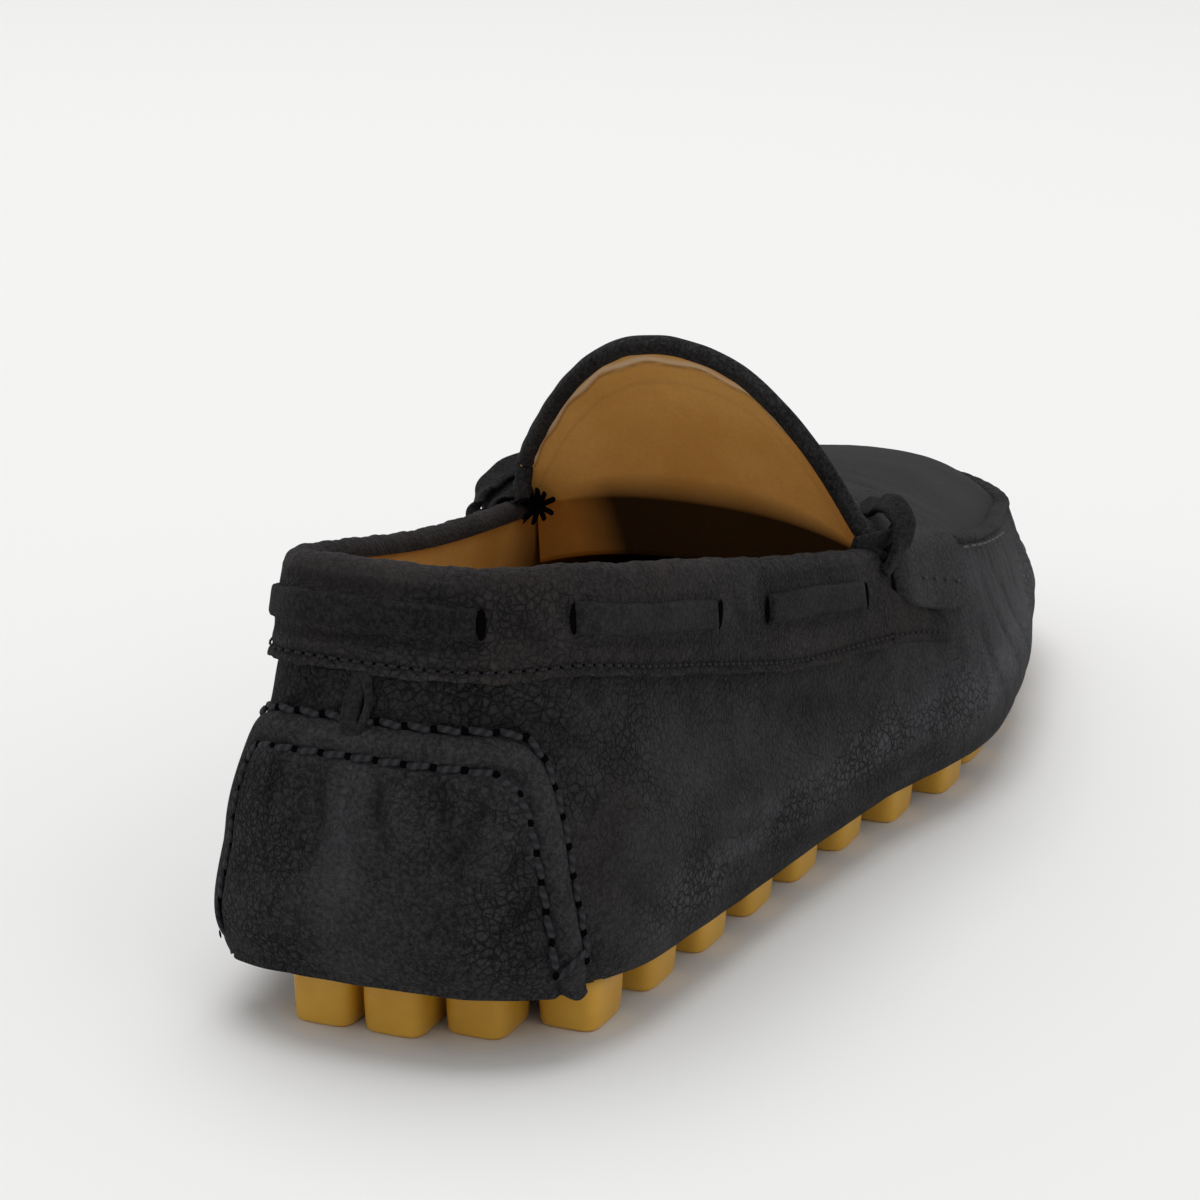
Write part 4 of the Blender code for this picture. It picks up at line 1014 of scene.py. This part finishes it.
# A contour for each station: up the outside, over the rim in a half ellipse, down inside and back against the wall
def makeBand():
    stations = np.linspace(-band["innerEnd"], band["end"], 640)
    depth = bandDepth(stations) + bandWander(stations, 0.0003)
    shares = np.linspace(1, 0.095, 34)
    dip = dipAt(stations)
    drops = dip + shares[:, None] * (depth - dip)
    crease = creaseRelief(bandCreases, stations[None], drops)
    relief = crease + 0.00018 * softWaves(stations[None] * sideRun * 1200, drops * 1200, 1.2)
    left = depth - drops                                           # way up from the raw edge
    lip = 0.0004 * np.exp(-(left / 0.0011) ** 2) - 0.0003 * np.exp(-((left - 0.0017) / 0.0006) ** 2)
    outer = onSide(stations, shareAt(stations, drops), band["thick"] + 0.0003 + relief + lip)
    angle = np.linspace(0.06, 1, 16) * np.pi
    outTop, inTop = band["thick"] + 0.0003, shoe["wall"] * 1.1 + band["rollIn"]
    middle, radius = (inTop - outTop) / 2, (inTop + outTop) / 2
    wave = bandWander(stations * 1.7, 0.0002)
    over = [topEdge(stations, middle - radius * np.cos(a), 0.0024 * np.sin(a) - 0.0014 + wave) for a in angle]
    inward = [topEdge(stations, inTop, -0.0014 - (band["insideDrop"] - 0.0014) * d)
              for d in np.linspace(0.15, 1, 7)]
    under = [topEdge(stations, shoe["wall"] * 1.15 + 0.0002, -band["insideDrop"]),
             topEdge(stations, shoe["wall"] * 1.15 + 0.0002, 0.0002), topEdge(stations, -0.0002, 0.0002)]
    back = onSide(stations, shareAt(stations, np.array([0.3, 0.7, 1.0])[:, None] * depth), 0.00015)
    contour = np.concatenate([outer, over, inward, under, back]).transpose(1, 0, 2)
    shade, grain = np.zeros(contour.shape[:2]), np.zeros(contour.shape[:2])
    # painted shade in the band's creases
    shade[:, :34] = np.clip(-crease / 0.0006, 0, 0.5).T
    grain[:, :34] = (np.clip(1.15 - np.abs(stations) / 0.30, 0.25, 1) * np.clip(drops / 0.006, 0.2, 1)).T
    tone = 0.10 * np.clip(1 - np.abs(stations) / 0.18, 0, 1)[:, None] + 0 * shade
    tubePiece("collarBand", contour, "collar", "collar_band", values=dict(shade=shade, grain=grain, tone=tone))


# The band's lower part runs on under the strap's foot and thins out
def makeBandTail():
    for side, word in ((1, "Outer"), (-1, "Inner")):
        stations = np.linspace(0.446, 0.521, 60)
        fade = np.clip((0.521 - stations) / 0.03, 0.05, 1) ** 0.6
        low = bandDepth(stations) * (1 - 0.02 * (1 - fade))
        high = np.interp(stations, [0.446, 0.456, 0.470, 0.521], [0.0035, 0.0080, 0.0108, 0.0150])
        drops = low + (high - low) * np.linspace(0, 1, 16)[:, None]
        edges = np.clip(1.02 - np.abs(np.linspace(-1, 1, 16)[:, None]) ** 7, 0.2, 1)
        thick = (0.0003 + band["thick"] * fade) * edges
        shares = shareAt(side * stations, drops)
        outside, inside = onSide(side * stations, shares, thick), onSide(side * stations, shares, 0.0001)
        shellPiece("bandTail" + word, outside, inside, "collar")


# Flat strip with round edges whose ends sink through the band over the last millimetre, each beside a slot drawn as
# a black dome of painted shade
def makeLaces():
    across = np.linspace(-1, 1, 17)
    slotAt = []
    for node, (start, end) in laceRuns.items():
        stations = np.linspace(start, end, 120)
        run = (stations - start) * sideRun
        left = (end - start) * sideRun - run
        dive = np.exp(-(np.minimum(run, left) / laces["sink"]) ** 2)
        middle = laceDrop(stations) + bandWander(stations * 1.3, 0.00015)
        wide = laces["wide"] * (1 - 0.10 * dive)
        drops = middle - wide / 2 * across[:, None]
        crownUp = laces["thick"] * (1 - np.abs(across)[:, None] ** 9) ** 0.5
        low = band["thick"] + 0.0004 - 0.0024 * dive
        wave = 0.00010 * np.sin(run * 1000 * 0.5)[None]
        shares = shareAt(stations, drops)
        top = onSide(stations, shares, low + crownUp + wave)
        bottom = onSide(stations, shares, low - 0.0003 + 0 * crownUp)
        shellPiece(node + "Strip", top.transpose(1, 0, 2), bottom.transpose(1, 0, 2), "lace", node)
        slotAt += [start + 0.0010 / sideRun, end + 0.0001 / sideRun]
    slotAt = np.array(slotAt)
    # the slots are black domes of painted shade
    at, normal = sidePoints(slotAt, laceDrop(slotAt), band["thick"] + 0.0007)
    ahead = sidePoints(slotAt + 0.002, laceDrop(slotAt))[0] - at
    updown = np.cross(normal, unit(ahead))
    holePiece("laceSlots", at, updown, normal, 0.00080, 3.2)


# Rows of small stitches just above the raw edge
def makeBandStitches():
    knots = [(s, float(bandDepth(s)) - 0.00165) for s in np.linspace(-0.445, 0.512, 25)]
    station, drop = evenWay(knots, 0.00205)
    middle, way, normal, at, _ = stitchSpots(station, drop, band["thick"] + 0.00042)
    stitchPiece("bandStitches", middle, way, normal, 0.00165, 0.00026, 0.00022, "thread", sides=6, rows=7)
    holePiece("bandHoles", at, np.gradient(at, axis=0), stitchSpots(station, drop, 0.0)[4], 0.00022, 1.2)


makeBand()
makeBandTail()
makeLaces()
makeBandStitches()
print("collar made")


patch = dict(foot=0.045, drop=0.0242, upright=0.14)
# share of the way up, half width as a share of one side's way round
patchShape = ((0.00, 0.1170), (0.08, 0.1140), (0.40, 0.1060), (0.78, 0.1010), (0.88, 0.0975), (0.94, 0.0920),
              (0.98, 0.0845), (1.00, 0.0760))
patchCreases = (
    (-0.075, 33, -0.070, 40, 1.2, 0.30), (-0.050, 31, -0.046, 40, 1.1, 0.30), (-0.020, 31, -0.016, 41, 1.2, 0.32),
    (0.010, 31, 0.016, 40, 1.1, 0.28), (0.040, 31, 0.050, 41, 1.2, 0.30), (0.066, 33, 0.050, 42, 1.2, 0.30),
    (0.084, 40, 0.070, 46, 1.1, 0.28), (0.087, 48, 0.072, 53, 1.1, 0.26), (0.090, 56, 0.075, 60, 1.1, 0.22),
    (-0.090, 46, -0.076, 51, 1.2, 0.28), (-0.092, 55, -0.078, 60, 1.2, 0.22))


# Height by the distance e (mm) from the free edge: rises to a ridge at 2.7, sinks at 5.5, then the panel
def ridgeProfile(e):
    lip = 1 - np.exp(-(e / 0.9) ** 2)
    ridge = 0.65 * np.exp(-((e - 2.7) / 1.4) ** 2)
    groove = 0.55 * np.exp(-((e - 5.5) / 0.8) ** 2)
    return (0.30 + 0.85 * lip + ridge - groove) / 1000


# Rows of a rounded panel laid on the side; edge is a soft least of the ways to its free edges,
# -log(sum of exp(-0.55 d)) / 0.55
def makePatch():
    columns, rows = np.linspace(-1, 1, 241), (np.linspace(0, 1, 200) ** 0.9)[:, None]
    half = smooth(patchShape, 1, rows)
    # the inner side stands straight where the outer side flares towards the foot
    half = half * (1 - patch["upright"] * (1 - rows) ** 0.7 * (columns < 0))
    station = half * columns
    head = np.stack([shareAt(line, np.array([[patch["drop"]]]))[0] for line in station])
    foot = patch["foot"] * np.clip((station + 0.085) / 0.05, 0, 1)
    share = foot + (head - foot) * rows
    bare = np.stack([onSide(line, up[None])[0] for line, up in zip(station, share)])
    drop = topEdge(station.ravel())[:, 2].reshape(station.shape) - bare[..., 2]
    sideways = (1 - np.abs(columns)) * half * sideRun * 1000
    downwards = (bare[-1:, :, 2] - bare[..., 2]) * 1000 + 0.2
    edge = np.maximum(-np.log(np.exp(-0.55 * sideways) + np.exp(-0.55 * downwards)) / 0.55 + 0.25, 0)
    panel = np.clip((edge - 5.5) / 2, 0, 1)
    crease = creaseRelief(patchCreases, station, drop) * panel
    x, y = station * sideRun * 1000, drop * 1000
    relief = ridgeProfile(edge) + crease + 0.00025 * softWaves(x, y, 0.4) * panel
    relief += 0.0004 * np.exp(-((drop - 0.045) / 0.014) ** 2 - (station / 0.06) ** 2)
    # painted highlight: a lighter streak down the heel's middle, and a faint light line along the raised ridge
    highlightStreak = np.exp(-((station + 0.006) / 0.012) ** 2 - ((drop - 0.044) / 0.014) ** 2)
    highlightStreak = highlightStreak * (0.7 + 0.3 * softWaves(station * 4000, drop * 2500, 1.0))
    tone = 0.28 * np.clip(highlightStreak, 0, 1) + 0.05 * np.exp(-((edge - 2.7) / 1.2) ** 2)
    # painted shade in the creases and in the groove inside the ridge
    shade = np.clip(-crease / 0.0006, 0, 0.4) + 0.35 * np.exp(-((edge - 5.5) / 0.6) ** 2)
    grain = 0.55 + 0.45 * np.abs(station) / 0.09 + 0.3 * np.clip((0.040 - drop) / 0.01, 0, 1)
    # the stiff panel doesn't turn under: it keeps most of its width down to a tight lower corner
    turned = [-sideCurve(line, up[None])[0][0] for line, up in zip(station, share)]
    fill = 0.95 * np.clip(np.stack(turned), 0, 1) * np.clip((0.34 - share) / 0.12, 0, 1)
    fill = fill * np.clip(np.where(station < 0, 1, edge / 0.5), 0, 1)
    fill += 0.0010 * np.exp(-((station + 0.085) / 0.03) ** 2) * np.clip((0.30 - share) / 0.2, 0, 1)
    outside = np.stack([onSide(line, up[None], rise[None])[0] for line, up, rise in zip(station, share, relief)])
    outside[..., :2] += fill[..., None] * outlineAt(station)[1]
    shellPiece("heelPatch", outside, bare, "patch", "heel_patch",
               values=dict(tone=tone, shade=shade, grain=np.clip(panel * grain, 0.15, 1)))


# station and drop (m) of the stitch rows' knots, from the inner side's foot over the top to the outer foot
innerRow = ((-0.0830, 0.0620), (-0.0822, 0.0550), (-0.0820, 0.0450), (-0.0835, 0.0370), (-0.0820, 0.0318),
            (-0.0720, 0.0300), (-0.0400, 0.0295), (0.0000, 0.0292), (0.0400, 0.0292), (0.0660, 0.0297),
            (0.0790, 0.0318), (0.0850, 0.0370), (0.0885, 0.0450), (0.0915, 0.0550), (0.0938, 0.0628))
outerRow = ((-0.0975, 0.0600), (-0.0962, 0.0540), (-0.0970, 0.0450), (-0.0985, 0.0350), (-0.0972, 0.0277),
            (-0.0850, 0.0242), (-0.0500, 0.0237), (0.0000, 0.0236), (0.0500, 0.0236), (0.0820, 0.0240),
            (0.0965, 0.0275), (0.1020, 0.0350), (0.1055, 0.0450), (0.1095, 0.0550), (0.1130, 0.0640))


# Both rows by even places along their knots, holes between the stitches, and two stitches across at the foot
def makePatchStitches():
    for name, knots, pitch, proud in (("patchInnerStitches", innerRow, 0.0047, 0.0008),
                                      ("patchOuterStitches", outerRow, 0.0047, 0.0005)):
        station, drop = evenWay(knots, pitch, 0.0015)
        middle, way, normal, at, facing = stitchSpots(station, drop, proud)
        foot = 0.0026 if "Inner" in name else 0.0                  # the panel's fuller foot
        low = np.clip((drop - 0.048) / 0.016, 0, 1) ** 1.5 * foot
        lift = ((low[1:] + low[:-1]) / 2)[:, None] * normal
        side = unit(np.cross(normal, way))
        tilt = way + side * 0.0007 * (1 if "Inner" in name else -1)
        stitchPiece(name, middle + lift, tilt, normal, 0.0044, 0.00060, 0.00050, "thread", sides=10, rows=11)
        spots = at + (low[:, None] + 0.0002) * facing
        holePiece(name.replace("Stitches", "Holes"), spots, np.gradient(at, axis=0), facing, 0.00062, 1.2)
    station = np.array([0.0975, 0.1025])
    drop = np.array([0.0605, 0.0590])
    at, normal = sidePoints(station, drop, 0.0018)
    ahead = sidePoints(station + 0.004, drop - 0.0012)[0] - sidePoints(station - 0.004, drop + 0.0008)[0]
    stitchPiece("patchCrossStitches", at, ahead, normal, 0.0054, 0.00048, 0.0003, "thread", sides=10, rows=11)


# Strip on the side along (station, drop in m, width in m, standing off in m), round over the top
def layStrip(name, way, thick, finish, *nodes, rows=50, bow=0.0):
    table = np.column_stack([np.linspace(0, 1, len(way)), np.array(way, float)])
    t, across = np.linspace(0, 1, rows), np.linspace(-1, 1, 15)
    station, drop, wide, off = (smooth(table, k, t)[:, None] for k in (1, 2, 3, 4))
    grid = station + wide / 2 * across / sideRun
    top, low = [], []
    for line, d, o in zip(grid, drop, off):
        share = shareAt(line, np.full((1, len(line)), d[0]) + bow * across ** 2)
        top.append(onSide(line, share, o + thick * (1 - np.abs(across) ** 4)[None] ** 0.5)[0])
        low.append(onSide(line, share, o - 0.0002)[0])
    return shellPiece(name, np.stack(top), np.stack(low), finish, *nodes)


# The tab's twisted strip, its thin second leg, and a black strip of painted shadow between them
def makeBackTab():
    layStrip("backTab", ((-0.0045, 0.0160, 0.0048, 0.0006), (-0.0055, 0.0180, 0.0036, 0.0008),
                         (-0.0080, 0.0205, 0.0034, 0.0012), (-0.0090, 0.0235, 0.0034, 0.0012),
                         (-0.0080, 0.0262, 0.0034, 0.0010)), 0.0009, "lace", "back_tab")
    layStrip("backTabLoop", ((-0.0030, 0.0162, 0.0030, 0.0012), (-0.0008, 0.0180, 0.0016, 0.0016),
                             (0.0006, 0.0205, 0.0013, 0.0014), (-0.0014, 0.0236, 0.0014, 0.0012),
                             (-0.0040, 0.0262, 0.0020, 0.0010)), 0.0008, "lace")
    layStrip("backTabGap", ((-0.0036, 0.0170, 0.0020, 0.0002), (-0.0036, 0.0210, 0.0024, 0.0002),
                            (-0.0050, 0.0250, 0.0020, 0.0002)), 0.0002, "hole")


makePatch()
makePatchStitches()
makeBackTab()
print("heel made")


tongue = dict(height=0.0948, reach=0.0200, spread=1.03, rim=0.0033)
# share across from the inner to the outer side, height of the free edge as a share of the way up
tongueArch = ((-1.00, 0.250), (-0.97, 0.307), (-0.92, 0.385), (-0.85, 0.480), (-0.75, 0.600), (-0.60, 0.747),
              (-0.40, 0.885), (-0.20, 0.962), (0.00, 0.982), (0.20, 0.952), (0.40, 0.873), (0.60, 0.705),
              (0.75, 0.530), (0.85, 0.385), (0.92, 0.270), (0.97, 0.187), (1.00, 0.140))


# From the throat's arch back and up to a free edge; past the sides it narrows down to the collar's front ends
def tongueAt(across, reach, away=0.0):
    inner, excess = np.clip(across, -1, 1), np.clip((np.abs(across) - 1) / 0.2, 0, 1)
    throat = apronAt([apron["back"]], inner)[0]
    throat[:, 1] -= 0.0009
    middle, half = (throat[0] + throat[-1]) / 2, (throat[-1] - throat[0]) / 2 * tongue["spread"]
    rise = smooth(tongueArch, 1, inner)
    full = rise * np.clip(1 - np.abs(inner) ** 8, 0, 1)
    edge = np.empty_like(throat)
    edge[:, 0] = middle[0] + half[0] * inner
    edge[:, 1] = middle[1] - tongue["reach"] * (0.18 + 0.50 * rise + 0.32 * rise ** 2)
    base = middle[2] + half[2] * inner
    edge[:, 2] = base + (tongue["height"] - base) * rise
    t = np.asarray(reach)[:, None, None]
    bulge = np.array([0, 0.12 * tongue["reach"], 0.0]) * full[:, None]
    grid = throat * (1 - t) + edge * t + np.sin(np.pi * t) * bulge
    ends = np.where(across[:, None] > 0, topEdge([0.461], -0.0004, 0.0002), topEdge([-0.431], 0.0014, 0.0012))
    grid = grid * (1 - excess[:, None]) + (ends + np.array([0, 0, 0.0012]) * (t - 1)) * excess[:, None]
    if away:
        normal = unit(np.cross(np.gradient(grid, axis=1), np.gradient(grid, axis=0)))
        if normal[len(reach) // 2, len(across) // 2, 2] < 0:
            normal = -normal
        grid = grid + away * normal
    return grid


wings = np.linspace(0, 0.2, 12)[1:]
tongueAcross = np.concatenate([-1 - wings[::-1], np.sin(np.linspace(-np.pi / 2, np.pi / 2, 121)), 1 + wings])
tongueReach = np.linspace(0, 1, 60)


# The lining starts under the binding and runs on past the throat, sinking forwards into the shoe
def makeTongueLining():
    sheet = tongueAt(tongueAcross, tongueReach, -0.0012)[:, len(wings) + 1:-len(wings) - 1]
    t = np.linspace(0, 1, 14)[1:, None, None]
    on = sheet[:1] * (1 + t * np.array([0.12, 0, 0])) + t * np.array([0, 0.010, 0])
    on = on - t ** 1.2 * np.array([0, 0, 0.014])
    sheet = np.concatenate([on[::-1], sheet])
    normal = unit(np.cross(np.gradient(sheet, axis=1), np.gradient(sheet, axis=0)))
    if normal[40, 60, 2] > 0:
        normal = -normal
    steps = np.linalg.norm(np.diff(sheet, axis=0), axis=2)
    run = np.concatenate([steps[::-1].cumsum(0)[::-1], 0 * sheet[:1, :, 0]])     # way from the free edge
    raw = 0.0042 + 0.0004 * np.sin(np.arange(sheet.shape[1]) * 0.55)
    tone = np.clip(1.4 - np.abs(run - raw) / 0.0009, 0, 1)
    shade = 0.42 * np.exp(-((run - raw - 0.0013) / 0.00035) ** 2) + 0.12 * np.exp(-((run - 0.0105) / 0.0005) ** 2)
    # painted shade: from just above the throat the lining darkens down into the shoe, less at the inner corner
    height = np.concatenate([np.linspace(-1, -0.08, 13), tongueReach])[:, None]
    leftOpen = np.clip((sheet[..., 0] + 0.025) / 0.011, 0.12, 1)       # the inner corner stays light
    shade = np.clip(shade + np.clip((0.16 - height) / 0.20, 0, 1) * leftOpen, 0, 0.98)
    lift = 0.0007 - 0.0004 * np.clip((run - raw) / 0.0008, 0, 1)
    shellPiece("tongueLining", sheet + normal * lift[..., None], sheet - normal * 0.0002, "lining",
               values=dict(tone=tone, shade=shade))


# A superellipse section carried round the free edge, narrower towards both ends
def makeBinding():
    full = tongueAt(tongueAcross, tongueReach, -0.0008)
    edge, down = full[-1], full[-8] - full[-1]
    ahead = unit(np.gradient(edge, axis=0))
    inwards = unit(down - (down * ahead).sum(1, keepdims=True) * ahead)
    facing = np.cross(ahead, inwards)
    if facing[len(edge) // 2, 2] > 0:
        facing = -facing
    ringX, ringZ = ringAt(24, 0.8, 0.8)
    wave = 1 + 0.03 * np.sin(np.arange(len(edge)) * 0.9)
    wave = wave * np.interp(np.abs(tongueAcross), [0, 1.0, 1.2], [1, 0.95, 0.6])
    centre = edge + inwards * (tongue["rim"] / 2 - 0.0005)
    contour = (centre[:, None] + inwards[:, None] * (tongue["rim"] / 2 * wave[:, None] * ringX)[..., None]
               + facing[:, None] * (0.0016 * ringZ)[None, :, None])
    tubePiece("tongueBinding", contour, "body")


# turn and length (mm) of the stitches that catch tongue and collar together
starSpokes = ((0.3, 4.8), (0.95, 3.4), (1.6, 3.6), (2.2, 3.2), (2.9, 4.2), (3.7, 3.8), (4.4, 3.2), (5.2, 3.9),
              (5.8, 4.4))


# Spokes round one point on the inner corner, in the plane that faces the heel's outer side
def makeStar():
    turn, long = np.array(starSpokes).T
    long = long / 1000
    face = unit(np.array([0.80, -0.55, 0.25]))
    right = unit(np.cross(face, np.array([0, 0, 1.0])))
    spoke = np.cos(turn)[:, None] * right + np.sin(turn)[:, None] * np.cross(right, face)
    middle = topEdge([-0.441], 0.0046)[0] + spoke * long[:, None] / 2
    stitchPiece("tongueStar", middle, spoke, np.repeat(face[None], len(turn), 0), long, 0.00055, 0.0005, "hole")


shellPiece("tongueLeather", tongueAt(tongueAcross, tongueReach, 0.0001),
           tongueAt(tongueAcross, tongueReach, -0.0010), "body", "tongue")
makeTongueLining()
makeBinding()
makeStar()
print("tongue made")
